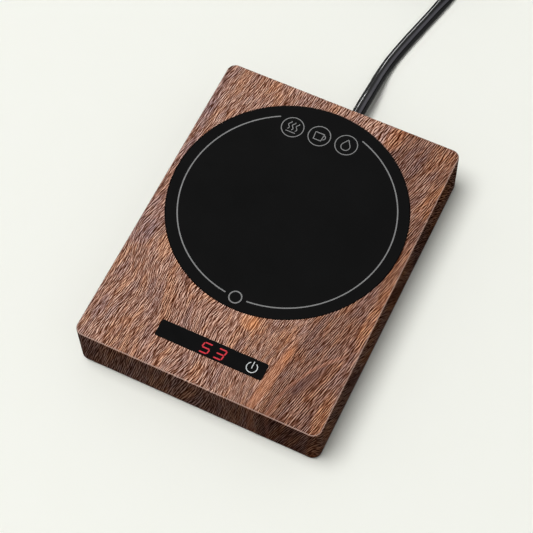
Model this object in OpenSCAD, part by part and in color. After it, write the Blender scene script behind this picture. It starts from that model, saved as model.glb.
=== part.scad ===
// Electric mug warmer: a black glass warming plate flush in a flat wood-grain housing, with a touch
// display, a clamped foil heater, a resettable snap-disc cut-out, two circuit boards and a flat lead.
// Millimetres. +Z is up, the display is at the front (-Y) and the lead leaves at the back (+Y).
// The origin is the middle of the housing's footprint, on the surface that the feet stand on.

/* [Body] */
// Width of the housing, left to right
body_w = 128; // [127:1:140]
// Length of the housing, front to back
body_l = 169; // [168:1:190]
// Height of the housing's walls
body_h = 27; // [26:0.5:32]
// Radius of the housing's upright corners
corner_r = 4.5; // [4:0.5:8]
// Chamfer around the top edge
edge_cut = 0.5; // [0.3:0.1:0.8]
// Thickness of the side walls
wall_t = 2.4; // [2:0.1:2.6]
// Thickness of the top deck
deck_t = 3; // [2.6:0.1:3.4]
// Clearance around pieces that drop into a pocket or an opening
fit_gap = 0.3; // [0.2:0.05:0.4]
// Clearance around a screw's core or a pressed insert
snug_gap = 0.05; // [0.03:0.01:0.1]

/* [Warming plate] */
// Diameter of the glass
disc_d = 120; // [112:1:121]
// Thickness of the glass
disc_t = 3; // [2.6:0.1:3.4]
// Distance from the glass to the back face of the housing
disc_inset = 6; // [5.5:0.5:9]
// Sideways place of the glass, from the housing's middle
disc_x = -0.7; // [-1:0.1:1]
// Chamfer around the glass
disc_cut = 0.3; // [0.2:0.1:0.5]
// Width of the ledge under the glass's rim
ledge_w = 6; // [5:0.5:7]
// Thickness of that ledge
ledge_t = 1.5; // [1.2:0.1:2]
// Thickness of the silicone gasket on the ledge
gasket_t = 0.3; // [0.2:0.1:0.5]
// Width of the collar around the glass, under the deck
collar_w = 2; // [1.6:0.1:2.4]

/* [Heater stack] */
// Diameter of the heat spreader, the mica sheets and the insulation
stack_d = 100; // [98:1:103]
// Thickness of the aluminium heat spreader
spreader_t = 1.5; // [1:0.1:2]
// Thickness of each mica sheet
mica_t = 0.5; // [0.3:0.1:0.6]
// Thickness of the etched heater foil
foil_t = 0.3; // [0.2:0.1:0.4]
// Width of the foil's track
track_w = 2.6; // [2:0.1:3]
// Distance from one turn of the track to the next
track_pitch = 4.6; // [4.4:0.1:4.8]
// Thickness of the insulation pad
pad_t = 4; // [3.5:0.1:4.5]
// Thickness of the steel pressure plate
plate_t = 1; // [0.8:0.1:1.2]
// How far the plate's screws sit inside the glass's edge
plate_screw_in = 2; // [1.6:0.1:2.2]

/* [Cut-out] */
// Diameter of the snap-disc cut-out's metal cap
cap_d = 16; // [15.6:0.1:16.4]
// Height of the cap
cap_h = 6.3; // [6.3:0.1:6.8]
// Depth of the cut-out's case below its flange
case_h = 4.2; // [3.8:0.1:4.6]
// Travel of the trip pin
pin_travel = 0.5; // [0.4:0.05:0.6]
// Distance from the contact arm's pivot to the trip pin
arm_lever = 5; // [4.8:0.1:5.1]
// Distance between the two screws in the cut-out's flange
flange_pitch = 24; // [22:1:26]

/* [Base] */
// Thickness of the bottom cover
cover_t = 2.5; // [2.3:0.1:3]
// How far the feet stand below the housing
foot_proud = 1.5; // [1.3:0.1:2]
// Height of a rubber foot, with the part that sits in its pocket
foot_h = 2.5; // [2.4:0.1:2.8]
// Diameter of a rubber foot
foot_d = 12; // [10:0.5:14]
// Distance from the housing's sides to the middle of a foot
foot_inset = 18; // [17:0.5:20]
// Distance from the housing's sides to the cover screws
boss_inset = 9; // [8.8:0.1:10]
// Diameter of the bosses for the cover screws
boss_d = 8; // [7:0.5:8]
// Place of the middle pair of cover screws, front to back
mid_boss_y = -40; // [-42:1:-36]
// Height of the lip that centres the cover
lip_h = 2; // [1.5:0.1:2.5]

/* [Display] */
// Length of the black display lens
lens_w = 56; // [54:0.5:60]
// Width of the lens, front to back
lens_l = 8.8; // [8.8:0.1:9.4]
// Thickness of the lens
lens_t = 1.5; // [1.3:0.1:1.8]
// Distance from the front face to the middle of the lens
lens_setback = 19.5; // [19:0.5:21]
// Width of the rim that carries the lens
lens_lip = 0.6; // [0.4:0.1:0.6]
// Height of a display digit
digit_h = 6.4; // [6:0.1:6.4]
// Distance between the two digits
digit_pitch = 7.5; // [7.2:0.1:7.8]
// Sideways place of the digits
digits_x = 0.6; // [0:0.1:1.2]
// Sideways place of the touch key
key_x = 20.7; // [19:0.1:22]
// Gap between the control board and the deck
board_drop = 3; // [2.8:0.1:3.2]

/* [Boards] */
// Length of the control board, left to right
control_w = 84; // [82:1:88]
// Width of the control board, front to back
control_l = 16; // [16:0.5:17]
// Length of the power board, left to right
power_w = 92; // [90:1:94]
// Width of the power board, front to back
power_l = 34; // [34:0.5:36]
// Distance from the front face to the middle of the power board
power_setback = 22.5; // [22.5:0.5:24]
// Height of the posts under the power board
post_h = 4; // [3.5:0.1:4.2]
// Thickness of both circuit boards
pcb_t = 1.6; // [1.2:0.1:1.6]
// Height of the tallest parts on the power board
part_h = 8.6; // [8:0.1:8.8]

/* [Lead] */
// Width of the flat two-core lead
cord_w = 6.8; // [6.6:0.1:7]
// Thickness of the flat lead
cord_t = 3.5; // [3.3:0.1:3.6]
// Sideways place where the lead leaves the back wall
cord_x = 3; // [0:0.5:6]
// Height of the lead's middle at the back wall
cord_z = 8.5; // [8.5:0.1:9]
// Length of the strain relief outside the wall
relief_out = 10; // [9:0.5:12]
// Length of the strain relief inside its flange
relief_in = 6; // [4:0.5:6]
// Thickness of the strain relief's flange
relief_flange = 2.2; // [1.8:0.1:2.6]

/* [Plug] */
// Width of the plug's body
plug_w = 24; // [22:0.5:26]
// Thickness of the plug's body
plug_t = 15; // [14:0.1:15]
// Length of the plug's body
plug_l = 26; // [24:0.5:28]
// Distance between the two blades
blade_pitch = 12.7; // [12.6:0.1:12.8]
// Length of a blade
blade_l = 16.5; // [15.9:0.1:18]

/* [Hidden] */
$fn = 96;
eps = 0.01;

// Heights, from the floor up
z_base = foot_proud;
z_top = z_base + body_h;
z_deck = z_top - deck_t;
z_cover = z_base + cover_t;
z_glass = z_top - disc_t;
z_ledge = z_glass - gasket_t - ledge_t;
z_spreader = z_glass - spreader_t;
z_foil = z_spreader - mica_t - foil_t;
z_pad = z_foil - mica_t - pad_t;
z_plate = z_pad - plate_t;
z_lens = z_top - lens_t;
z_control = z_deck - board_drop - pcb_t;
z_power = z_cover + post_h + pcb_t;

// Places in plan
front = -body_l / 2;
rear = body_l / 2;
inner_rear = rear - wall_t;
disc_y = rear - disc_inset - disc_d / 2;
disc_at = [disc_x, disc_y, 0];
lens_x = -0.3;
lens_y = front + lens_setback;
power_y = front + power_setback;
relief_end = rear + relief_out;

// Screws: core diameter, head diameter and head height of the three sizes used
m3 = [2.8, 5.4, 1.8];
m25 = [2.2, 4.4, 1.6];
m2 = [1.9, 3.8, 1.3];

walnut = "#6b4530";
black = "#1b1b1d";
board_green = "#1d5a36";

// ---------- shapes and layouts shared by several pieces ----------

module rounded_rect(w, l, r) {
    square([w - 2 * r, l], center = true);
    square([w, l - 2 * r], center = true);
    for (sx = [-1, 1], sy = [-1, 1])
        translate([sx * (w / 2 - r), sy * (l / 2 - r)])
            circle(r);
}

// A flat slot shape with round ends, in the XY plane
module slot_shape(w, h) {
    square([w - h, h], center = true);
    for (sx = [-1, 1])
        translate([sx * (w - h) / 2, 0])
            circle(h / 2);
}

// The same shape standing across Y, from y = 0 to y = length
module slot_bar(w, h, length) {
    rotate([90, 0, 0])
        translate([0, 0, -length])
            linear_extrude(length)
                slot_shape(w, h);
}

// A pan-head screw whose head bears at the origin from below and whose core points up
module screw(size, length) {
    cylinder(d = size[0], h = length);
    difference() {
        translate([0, 0, -size[2]])
            cylinder(d = size[1], h = size[2]);
        for (turn = [0, 90])
            translate([0, 0, -size[2]])
                rotate(turn)
                    cube([size[1] * 0.6, size[1] * 0.14, size[2]], center = true);
    }
}

module cover_screw_spots() {
    x = body_w / 2 - boss_inset;
    y = rear - boss_inset;
    for (sx = [-1, 1], spot = [-y, mid_boss_y, y])
        translate([sx * x, spot, 0])
            children();
}

module foot_spots() {
    for (sx = [-1, 1], sy = [-1, 1])
        translate([sx * (body_w / 2 - foot_inset), sy * (rear - foot_inset), 0])
            children();
}

plate_screw_r = disc_d / 2 - plate_screw_in;

module plate_screw_spots() {
    for (turn = [45:90:315])
        translate(disc_at)
            rotate(turn)
                translate([plate_screw_r, 0, 0])
                    children();
}

control_hole_x = control_w / 2 - 3.5;
control_hole_y = control_l / 2 - 3.25;

module control_screw_spots() {
    for (sx = [-1, 1], sy = [-1, 1])
        translate([sx * control_hole_x, lens_y + sy * control_hole_y, 0])
            children();
}

power_hole_x = power_w / 2 - 4;
power_hole_y = power_l / 2 - 3.5;

module power_screw_spots() {
    for (sx = [-1, 1], sy = [-1, 1])
        translate([sx * power_hole_x, power_y + sy * power_hole_y, 0])
            children();
}

clamp_y = inner_rear - relief_flange - relief_in - 6;
clamp_l = 8;
clamp_reach = 9.5;
cord_top = cord_z + cord_t / 2;

module clamp_screw_spots() {
    for (sx = [-1, 1])
        translate([cord_x + sx * clamp_reach, clamp_y, 0])
            children();
}

// ---------- swept leads ----------

function unit(v) = v / norm(v);

// Direction of a route at its point i
function heading(p, i) = unit(p[min(i + 1, len(p) - 1)] - p[max(i - 1, 0)]);

// A point between b and c on a smooth curve through a, b, c and d
function between(a, b, c, d, t) = 0.5 * (2 * b + (c - a) * t
    + (2 * a - 5 * b + 4 * c - d) * t * t + (3 * b - a - 3 * c + d) * t * t * t);

// The route with steps - 1 points added between each two of its points
function smooth(p, steps) = let (last = len(p) - 1) [
    for (i = [0:last - 1], k = [0:steps - 1])
        between(p[max(i - 1, 0)], p[i], p[i + 1], p[min(i + 2, last)], k / steps),
    p[last]];

// A closed tube along p with an oval section: wide and thick are its diameters, roll turns the
// section about the route, and across is a direction that the route never runs along
module tube(p, wide, thick, roll = [], sides = 8, across = [0, 0, 1]) {
    n = len(p);
    rings = [for (i = [0:n - 1])
        let (t = heading(p, i), u = unit(cross(t, across)), v = cross(u, t),
            a = len(roll) > 0 ? roll[i] : 0)
        for (k = [0:sides - 1])
            let (g = 360 * (k + 0.5) / sides, x = cos(g) * wide / 2, y = sin(g) * thick / 2)
            p[i] + u * (x * cos(a) - y * sin(a)) + v * (x * sin(a) + y * cos(a))];
    skin = [for (i = [0:n - 2], k = [0:sides - 1])
        let (a = i * sides + k, b = i * sides + (k + 1) % sides)
        each [[a, b, b + sides], [a, b + sides, a + sides]]];
    start = [[for (k = [0:sides - 1]) sides - 1 - k]];
    end = [[for (k = [0:sides - 1]) (n - 1) * sides + k]];
    polyhedron(rings, concat(skin, start, end), convexity = 6);
}

module wire(p, d, across = [0, 0, 1]) {
    tube(smooth(p, 4), d, d, sides = 8, across = across);
}

// ---------- housing ----------

module housing_outline() {
    translate([0, 0, z_base])
        linear_extrude(body_h - edge_cut)
            rounded_rect(body_w, body_l, corner_r);
    translate([0, 0, z_top - edge_cut]) {
        rotate([90, 0, 0])
            linear_extrude(body_l - 2 * corner_r, center = true)
                chamfered_strip(body_w);
        rotate([90, 0, 90])
            linear_extrude(body_w - 2 * corner_r, center = true)
                chamfered_strip(body_l);
        for (sx = [-1, 1], sy = [-1, 1])
            translate([sx * (body_w / 2 - corner_r), sy * (rear - corner_r), 0])
                cylinder(r1 = corner_r, r2 = corner_r - edge_cut, h = edge_cut);
    }
}

module chamfered_strip(w) {
    polygon([[-w / 2, 0], [w / 2, 0], [w / 2 - edge_cut, edge_cut], [edge_cut - w / 2, edge_cut]]);
}

pilot_l = 9;
plate_boss_d = 6.8;
control_post_d = 5.4;
relief_w = 11;
relief_h = 7.6;
relief_l = relief_in + relief_flange + wall_t + relief_out;

module upper_housing() {
    color(walnut)
        difference() {
            union() {
                difference() {
                    housing_outline();
                    translate([0, 0, z_base - 1])
                        linear_extrude(z_deck - z_base + 1)
                            rounded_rect(body_w - 2 * wall_t, body_l - 2 * wall_t, corner_r - wall_t);
                }
                glass_collar();
                cover_screw_spots()
                    translate([0, 0, z_cover])
                        cylinder(d = boss_d, h = z_deck - z_cover + eps);
                boss_ribs();
                plate_screw_spots()
                    translate([0, 0, z_plate + plate_t])
                        cylinder(d = plate_boss_d, h = z_ledge - z_plate - plate_t + eps);
                control_screw_spots()
                    translate([0, 0, z_control + pcb_t])
                        cylinder(d = control_post_d, h = board_drop + eps);
            }
            translate(disc_at) {
                translate([0, 0, z_glass - gasket_t])
                    cylinder(r = disc_d / 2 + fit_gap, h = disc_t + gasket_t + 1, $fn = 180);
                translate([0, 0, z_ledge - 1])
                    cylinder(r = disc_d / 2 - ledge_w, h = ledge_t + 2, $fn = 180);
            }
            translate([lens_x, lens_y, 0]) {
                translate([0, 0, z_lens])
                    linear_extrude(lens_t + 1)
                        rounded_rect(lens_w + fit_gap, lens_l + fit_gap, 1.2);
                translate([0, 0, z_deck - 1])
                    linear_extrude(deck_t)
                        rounded_rect(lens_w - 2 * lens_lip, lens_l - 2 * lens_lip, 0.8);
            }
            cover_screw_spots()
                translate([0, 0, z_cover - 1])
                    cylinder(d = m3[0] + 2 * snug_gap, h = pilot_l + 1);
            plate_screw_spots()
                translate([0, 0, z_plate])
                    cylinder(d = m3[0] + 2 * snug_gap, h = z_ledge - z_plate);
            control_screw_spots()
                translate([0, 0, z_control])
                    cylinder(d = m2[0] + 2 * snug_gap, h = pcb_t + board_drop - 0.3);
            translate([cord_x, inner_rear - 1, cord_z])
                slot_bar(relief_w + 2 * fit_gap, relief_h + 2 * fit_gap, wall_t + 2);
        }
}

// The ring under the deck that carries the glass, merged with the side walls
module glass_collar() {
    intersection() {
        translate([disc_x, disc_y, z_ledge])
            cylinder(r = disc_d / 2 + fit_gap + collar_w, h = z_deck - z_ledge + eps, $fn = 180);
        linear_extrude(z_top)
            square([body_w - wall_t, body_l - wall_t], center = true);
    }
}

// A web from each screw boss to the side wall next to it
module boss_ribs() {
    rib_z = z_cover + lip_h + 1;
    rib_t = 1.4;
    cover_screw_spots()
        translate([0, -rib_t / 2, rib_z])
            cube([0.1, rib_t, z_deck - rib_z + eps]);
    for (sx = [-1, 1], spot = [-rear + boss_inset, mid_boss_y, rear - boss_inset])
        translate([sx * (body_w / 2 - boss_inset / 2 - wall_t / 4), spot, (rib_z + z_deck) / 2])
            cube([boss_inset - wall_t / 2, rib_t, z_deck - rib_z + eps], center = true);
}

// ---------- base ----------

cover_w = body_w - 2 * wall_t - 2 * fit_gap;
cover_l = body_l - 2 * wall_t - 2 * fit_gap;
cover_r = corner_r - wall_t - fit_gap;
foot_pocket = foot_h - foot_proud;
head_pocket = 1.2;
lip_t = 1.4;
vent_w = 2;
vent_l = 22;
vent_pitch = 6;
vent_rows = [-32, 40];

module bottom_cover() {
    color(black)
        difference() {
            union() {
                translate([0, 0, z_base])
                    linear_extrude(cover_t)
                        rounded_rect(cover_w, cover_l, cover_r);
                cover_lip();
                power_screw_spots()
                    translate([0, 0, z_cover - eps])
                        cylinder(d = 6, h = post_h + eps);
                clamp_screw_spots()
                    translate([0, 0, z_cover - eps])
                        cylinder(d = 6, h = cord_top - fit_gap - z_cover);
                translate([cord_x - 5, clamp_y - clamp_l / 2, z_cover - eps])
                    cube([10, clamp_l, cord_z - cord_t / 2 - z_cover + eps]);
            }
            cover_screw_spots() {
                cylinder(d = m3[0] + 0.8, h = z_cover + 1);
                cylinder(d = m3[1] + 2 * fit_gap, h = z_base + head_pocket);
            }
            foot_spots()
                cylinder(d = foot_d + fit_gap, h = z_base + foot_pocket);
            for (row = vent_rows, i = [-5:5])
                translate([i * vent_pitch, row, z_base + cover_t / 2])
                    cube([vent_w, vent_l, cover_t + 2], center = true);
            power_screw_spots()
                translate([0, 0, z_cover + 0.5])
                    cylinder(d = m25[0] + 2 * snug_gap, h = post_h + 1);
            clamp_screw_spots()
                translate([0, 0, z_cover + 0.5])
                    cylinder(d = m25[0] + 2 * snug_gap, h = cord_top - z_cover);
        }
}

// The upstand that centres the cover in the walls, open where the strain relief sits
module cover_lip() {
    difference() {
        translate([0, 0, z_cover - eps])
            linear_extrude(lip_h)
                difference() {
                    rounded_rect(cover_w, cover_l, cover_r);
                    square([cover_w - 2 * lip_t, cover_l - 2 * lip_t], center = true);
                }
        translate([cord_x - 10, cover_l / 2 - lip_t - 1, z_cover])
            cube([20, lip_t + 2, lip_h + 1]);
    }
}

module rubber_feet() {
    color("#26262a")
        foot_spots()
            rotate_extrude()
                polygon([[0, 0], [foot_d / 2 - 0.6, 0], [foot_d / 2, 0.6], [foot_d / 2, foot_h],
                    [0, foot_h]]);
}

module cover_screws() {
    color("silver")
        cover_screw_spots()
            translate([0, 0, z_base + head_pocket])
                rotate(20)
                    screw([m3[0], m3[1], head_pocket], pilot_l - 1);
}

// ---------- warming plate and heater ----------

module glass_disc() {
    color([0.06, 0.06, 0.07])
        translate([disc_x, disc_y, z_glass])
            rotate_extrude($fn = 180)
                polygon([[0, 0], [disc_d / 2, 0], [disc_d / 2, disc_t - disc_cut],
                    [disc_d / 2 - disc_cut, disc_t], [0, disc_t]]);
}

module glass_gasket() {
    color("#c9c4b8")
        translate([disc_x, disc_y, z_glass - gasket_t])
            difference() {
                cylinder(d = disc_d - 0.6, h = gasket_t, $fn = 180);
                translate([0, 0, -1])
                    cylinder(r = disc_d / 2 - ledge_w + 0.6, h = gasket_t + 2, $fn = 180);
            }
}

cutout_hole_d = cap_d + 1;
sensor_hole_d = 4.4;
sensor_y = 25;

// A round sheet of the stack with the holes for the cut-out and the sensor
module stack_sheet(z, t) {
    translate([disc_x, disc_y, z])
        difference() {
            cylinder(d = stack_d, h = t, $fn = 180);
            translate([0, 0, -1])
                cylinder(d = cutout_hole_d, h = t + 2);
            translate([0, sensor_y, -1])
                cylinder(d = sensor_hole_d, h = t + 2);
        }
}

module heat_spreader() {
    color("#c4c7ca")
        translate([disc_x, disc_y, z_spreader])
            cylinder(d = stack_d, h = spreader_t, $fn = 180);
}

module upper_mica() {
    color("#c9b68a")
        stack_sheet(z_spreader - mica_t, mica_t);
}

module lower_mica() {
    color("#c9b68a")
        stack_sheet(z_foil - mica_t, mica_t);
}

module insulation_pad() {
    color("#e9e4d6")
        stack_sheet(z_pad, pad_t);
}

turns = 8;
split = 2.6;
tab_reach = 3.6;

function turn_r(i) = stack_d / 2 - 2.5 - i * track_pitch;

// One track, folded to and fro over the left half and then over the right half
module heater_foil() {
    color("#9a9da0")
        translate([disc_x, disc_y, z_foil])
            union() {
                difference() {
                    for (i = [0:turns - 1])
                        foil_ring(turn_r(i));
                    translate([-split, -stack_d, -1])
                        cube([2 * split, 2 * stack_d, foil_t + 2]);
                }
                for (side = [0, 1])
                    mirror([side, 0, 0])
                        half_links();
                translate([-split - eps, -turn_r(turns - 1) - track_w / 2, 0])
                    cube([2 * split + 2 * eps, track_w * 0.9, foil_t]);
            }
}

module foil_ring(r) {
    difference() {
        cylinder(r = r + track_w / 2, h = foil_t, $fn = 180);
        translate([0, 0, -1])
            cylinder(r = r - track_w / 2, h = foil_t + 2, $fn = 180);
    }
}

module half_links() {
    for (i = [0:turns - 2])
        translate([split, i % 2 == 0 ? turn_r(i + 1) : -turn_r(i), 0])
            cube([track_w, track_pitch, foil_t]);
    translate([split, -stack_d / 2 - tab_reach, 0])
        cube([track_w, tab_reach + 2.5, foil_t]);
}

fuse_at = [20, -16];
fuse_d = 4.2;
fuse_l = 12;
clip_t = 0.5;
fuse_z = z_plate - clip_t - fuse_d / 2 - 0.1;
clip_screw_y = -5.6;

module pressure_plate() {
    color("#b4b8bc")
        difference() {
            union() {
                translate([disc_x, disc_y, z_plate])
                    cylinder(d = stack_d, h = plate_t, $fn = 180);
                plate_screw_spots()
                    translate([0, 0, z_plate])
                        cylinder(r = 4.5, h = plate_t);
                for (turn = [45:90:315])
                    translate([disc_x, disc_y, z_plate])
                        rotate(turn)
                            translate([stack_d / 2 - 4, -4.5, 0])
                                cube([plate_screw_r - stack_d / 2 + 4, 9, plate_t]);
            }
            translate([disc_x, disc_y, z_plate - 1]) {
                cylinder(d = cutout_hole_d, h = plate_t + 2);
                translate([0, sensor_y, 0])
                    cylinder(d = sensor_hole_d, h = plate_t + 2);
                for (sx = [-1, 1])
                    translate([sx * flange_pitch / 2, 0, 0])
                        cylinder(d = m3[0] + 2 * snug_gap, h = plate_t + 2);
                translate([fuse_at[0], fuse_at[1] + clip_screw_y, 0])
                    cylinder(d = m3[0] + 2 * snug_gap, h = plate_t + 2);
            }
            plate_screw_spots()
                translate([0, 0, z_plate - 1])
                    cylinder(d = m3[0] + 0.4, h = plate_t + 2);
        }
}

module plate_screws() {
    color("silver")
        plate_screw_spots()
            translate([0, 0, z_plate])
                screw(m3, z_ledge - z_plate - 0.5);
}

// ---------- snap-disc cut-out ----------

cap_t = 0.4;
cap_bore_r = cap_d / 2 - 0.5;
case_r = cap_bore_r - 0.1;
neck_r = case_r - 0.6;
well_r = neck_r - 0.8;
flange_z = z_spreader - cap_h;
flange_t = 0.5;
case_z = flange_z - case_h;
floor_t = 1.5;
guide_z = z_spreader - 2.8;
guide_t = 1;
rim_h = 0.5;
snap_t = 0.2;
snap_rise = pin_travel - 0.05;
pin_r = 1;
arm_z = guide_z - 3;
arm_t = 0.3;
arm_w = 3;
barrel_r = 0.4;
arm_tip = 4.9;
contact_x = 3.7;
contact_r = 1.1;
contact_h = 0.6;
strip_t = 0.5;
strip_w = 3;
blade_h = 5;
blade_bottom = case_z - blade_h;

module cutout_cap() {
    color("#c8cacc")
        translate([disc_x, disc_y, flange_z])
            difference() {
                cylinder(d = cap_d, h = cap_h);
                translate([0, 0, -1])
                    cylinder(r = cap_bore_r, h = cap_h + 1 - cap_t);
            }
}

// A shallow dished disc, rim down: it snaps through to rim up when it is hot
module bimetal_disc() {
    color("#b08d57")
        translate([disc_x, disc_y, guide_z + guide_t + rim_h])
            rotate_extrude()
                polygon([[0, snap_rise], [3, snap_rise * 0.78], [5, snap_rise * 0.38],
                    [case_r - 0.3, 0], [case_r - 0.3, snap_t], [5, snap_rise * 0.38 + snap_t],
                    [3, snap_rise * 0.78 + snap_t], [0, snap_rise + snap_t]]);
}

module guide_disc() {
    color("#efe9dc")
        translate([disc_x, disc_y, guide_z])
            difference() {
                cylinder(r = case_r, h = guide_t + rim_h);
                translate([0, 0, guide_t])
                    cylinder(r = case_r - 1.2, h = rim_h + 1);
                translate([0, 0, -1])
                    cylinder(r = pin_r + 0.08, h = guide_t + 2);
            }
}

pin_bottom = arm_z + arm_t / 2 + 0.05;
pin_top = guide_z + guide_t + rim_h + 0.05;
pin_tip_r = 0.4;

module trip_pin() {
    pin_h = pin_top - pin_bottom;
    color("#f4f1ea")
        translate([disc_x, disc_y, pin_bottom])
            rotate_extrude()
                polygon([[0, 0], [pin_tip_r, 0], [pin_r, pin_r - pin_tip_r], [pin_r, pin_h],
                    [0, pin_h]]);
}

// The spring strip that carries the moving contact, with the rolled end that it turns on
module contact_arm() {
    color("#c89b5a")
        translate([disc_x, disc_y, arm_z])
            difference() {
                union() {
                    translate([-arm_lever, -arm_w / 2, -arm_t / 2])
                        cube([arm_lever + arm_tip, arm_w, arm_t]);
                    translate([-arm_lever, 0, 0])
                        rotate([90, 0, 0])
                            cylinder(r = barrel_r, h = arm_w, center = true);
                }
                translate([contact_x, 0, -1])
                    cylinder(r = 0.55, h = 2);
            }
}

module moving_contact() {
    color("#dcdcdc")
        translate([disc_x + contact_x, disc_y, arm_z]) {
            translate([0, 0, arm_t / 2])
                cylinder(r = contact_r, h = contact_h);
            translate([0, 0, -arm_t / 2 - eps])
                cylinder(r = 0.5, h = arm_t + 2 * eps);
            translate([0, 0, -arm_t / 2 - 0.3])
                cylinder(r = 0.8, h = 0.3);
        }
}

hook_z = arm_z + arm_t / 2 + 2 * contact_h + 0.03;
live_x = arm_tip + 0.4;

// Left: the strip that the arm's rolled end rests on. Right: the strip that hooks over the arm's
// tip and carries the fixed contact. Both end in a blade under the case
module contact_terminals() {
    color("#c9a063")
        translate(disc_at) {
            translate([-arm_lever - 0.5, -strip_w / 2, blade_bottom])
                cube([1, strip_w, arm_z - barrel_r - 0.1 - blade_bottom]);
            translate([live_x, -strip_w / 2, blade_bottom])
                cube([strip_t, strip_w, hook_z + strip_t - blade_bottom]);
            translate([contact_x - contact_r, -strip_w / 2, hook_z])
                cube([live_x + strip_t - contact_x + contact_r, strip_w, strip_t]);
            translate([contact_x, 0, hook_z - contact_h])
                cylinder(r = contact_r, h = contact_h + eps);
        }
}

module cutout_case() {
    color("#3a2a22")
        translate(disc_at)
            difference() {
                union() {
                    translate([0, 0, flange_z])
                        cylinder(r = case_r, h = guide_z - flange_z);
                    translate([0, 0, case_z])
                        cylinder(r = neck_r, h = case_h + eps);
                }
                translate([0, 0, case_z + floor_t])
                    cylinder(r = well_r, h = guide_z - case_z);
                translate([-arm_lever - 0.5 - snug_gap, -strip_w / 2 - snug_gap, case_z - 1])
                    cube([1 + 2 * snug_gap, strip_w + 2 * snug_gap, floor_t + 2]);
                translate([live_x - snug_gap, -strip_w / 2 - snug_gap, case_z - 1])
                    cube([strip_t + 2 * snug_gap, strip_w + 2 * snug_gap, floor_t + 2]);
            }
}

module cutout_flange() {
    color("#b9bcc0")
        translate([disc_x, disc_y, flange_z - flange_t])
            difference() {
                union() {
                    cylinder(r = neck_r + 2.2, h = flange_t);
                    for (sx = [-1, 1])
                        translate([sx * flange_pitch / 2, 0, 0])
                            cylinder(r = 3.6, h = flange_t);
                    translate([-flange_pitch / 2, -3.6, 0])
                        cube([flange_pitch, 7.2, flange_t]);
                }
                translate([0, 0, -1])
                    cylinder(r = neck_r + 0.15, h = flange_t + 2);
                for (sx = [-1, 1])
                    translate([sx * flange_pitch / 2, 0, -1])
                        cylinder(d = m3[0] + 0.4, h = flange_t + 2);
            }
}

module bracket_screws() {
    color("silver") {
        for (sx = [-1, 1])
            translate([disc_x + sx * flange_pitch / 2, disc_y, flange_z - flange_t])
                screw(m3, z_pad - flange_z + flange_t);
        translate([disc_x + fuse_at[0], disc_y + fuse_at[1] + clip_screw_y, z_plate - clip_t])
            screw(m3, z_pad - z_plate + clip_t);
    }
}

// ---------- thermal fuse and sensor ----------

module thermal_fuse() {
    color("#f2efe8")
        translate([disc_x + fuse_at[0], disc_y + fuse_at[1], fuse_z])
            rotate([0, 90, 0]) {
                cylinder(d = fuse_d, h = fuse_l - 2, center = true);
                cylinder(d = fuse_d - 1.6, h = fuse_l, center = true);
            }
}

module fuse_clip() {
    color("#b9bcc0")
        translate([disc_x + fuse_at[0], disc_y + fuse_at[1], fuse_z])
            difference() {
                union() {
                    rotate([0, 90, 0])
                        cylinder(r = fuse_d / 2 + clip_t + snug_gap, h = 5, center = true);
                    translate([-2.5, clip_screw_y - 3, z_plate - clip_t - fuse_z])
                        cube([5, 3 - clip_screw_y, clip_t]);
                }
                rotate([0, 90, 0])
                    cylinder(r = fuse_d / 2 + snug_gap, h = 7, center = true);
                translate([0, clip_screw_y, 0])
                    cylinder(d = m3[0] + 0.4, h = 9);
            }
}

sensor_flange_t = 1.2;
sensor_r = sensor_hole_d / 2 - fit_gap;
sensor_end = z_plate - sensor_flange_t;

module temperature_sensor() {
    color("#7d8288")
        translate([disc_x, disc_y + sensor_y, 0]) {
            translate([0, 0, z_plate - eps])
                cylinder(r = sensor_r, h = z_spreader - z_plate + eps);
            translate([0, 0, sensor_end])
                cylinder(r = 3.4, h = sensor_flange_t);
        }
}

// ---------- display ----------

module display_lens() {
    color([0.05, 0.05, 0.06])
        translate([lens_x, lens_y, z_lens])
            linear_extrude(lens_t)
                rounded_rect(lens_w, lens_l, 1);
}

digit_w = 4.4;
bar_w = 0.9;
slant = 9;

// The light well of one bar of a digit, at a place in the digit, leaning with it
module bar_well(x, y, length, upright) {
    translate([x + y * tan(slant), y, 0])
        rotate(upright ? 90 - slant : 0)
            linear_extrude(board_drop + deck_t)
                polygon([[-length / 2, 0], [(bar_w - length) / 2, bar_w / 2],
                    [(length - bar_w) / 2, bar_w / 2], [length / 2, 0],
                    [(length - bar_w) / 2, -bar_w / 2], [(bar_w - length) / 2, -bar_w / 2]]);
}

module digit_wells() {
    rise = (digit_h - bar_w) / 2;
    run = digit_w - bar_w;
    for (y = [-rise, 0, rise])
        bar_well(0, y, run - 0.3, false);
    for (sx = [-1, 1], sy = [-1, 1])
        bar_well(sx * run / 2, sy * rise / 2, rise - 0.3, true);
}

module digit_shade() {
    shade_l = lens_l - 2 * lens_lip - fit_gap;
    shade_h = z_lens - z_control - pcb_t;
    color("#f5f5f2")
        translate([digits_x, lens_y, z_control + pcb_t])
            difference() {
                translate([-digit_pitch - 1.4, -shade_l / 2, 0])
                    cube([2 * digit_pitch + 2.8, shade_l, shade_h]);
                for (sx = [-1, 1])
                    translate([sx * digit_pitch / 2, 0, -1])
                        digit_wells();
            }
}

module control_board() {
    color(board_green)
        translate([0, lens_y, z_control])
            difference() {
                linear_extrude(pcb_t)
                    rounded_rect(control_w, control_l, 1);
                for (sx = [-1, 1], sy = [-1, 1])
                    translate([sx * control_hole_x, sy * control_hole_y, -1])
                        cylinder(d = m2[0] + 0.4, h = pcb_t + 2);
            }
}

spring_wire = 0.6;
spring_r = 2.5;
spring_turns = 3.5;

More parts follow.
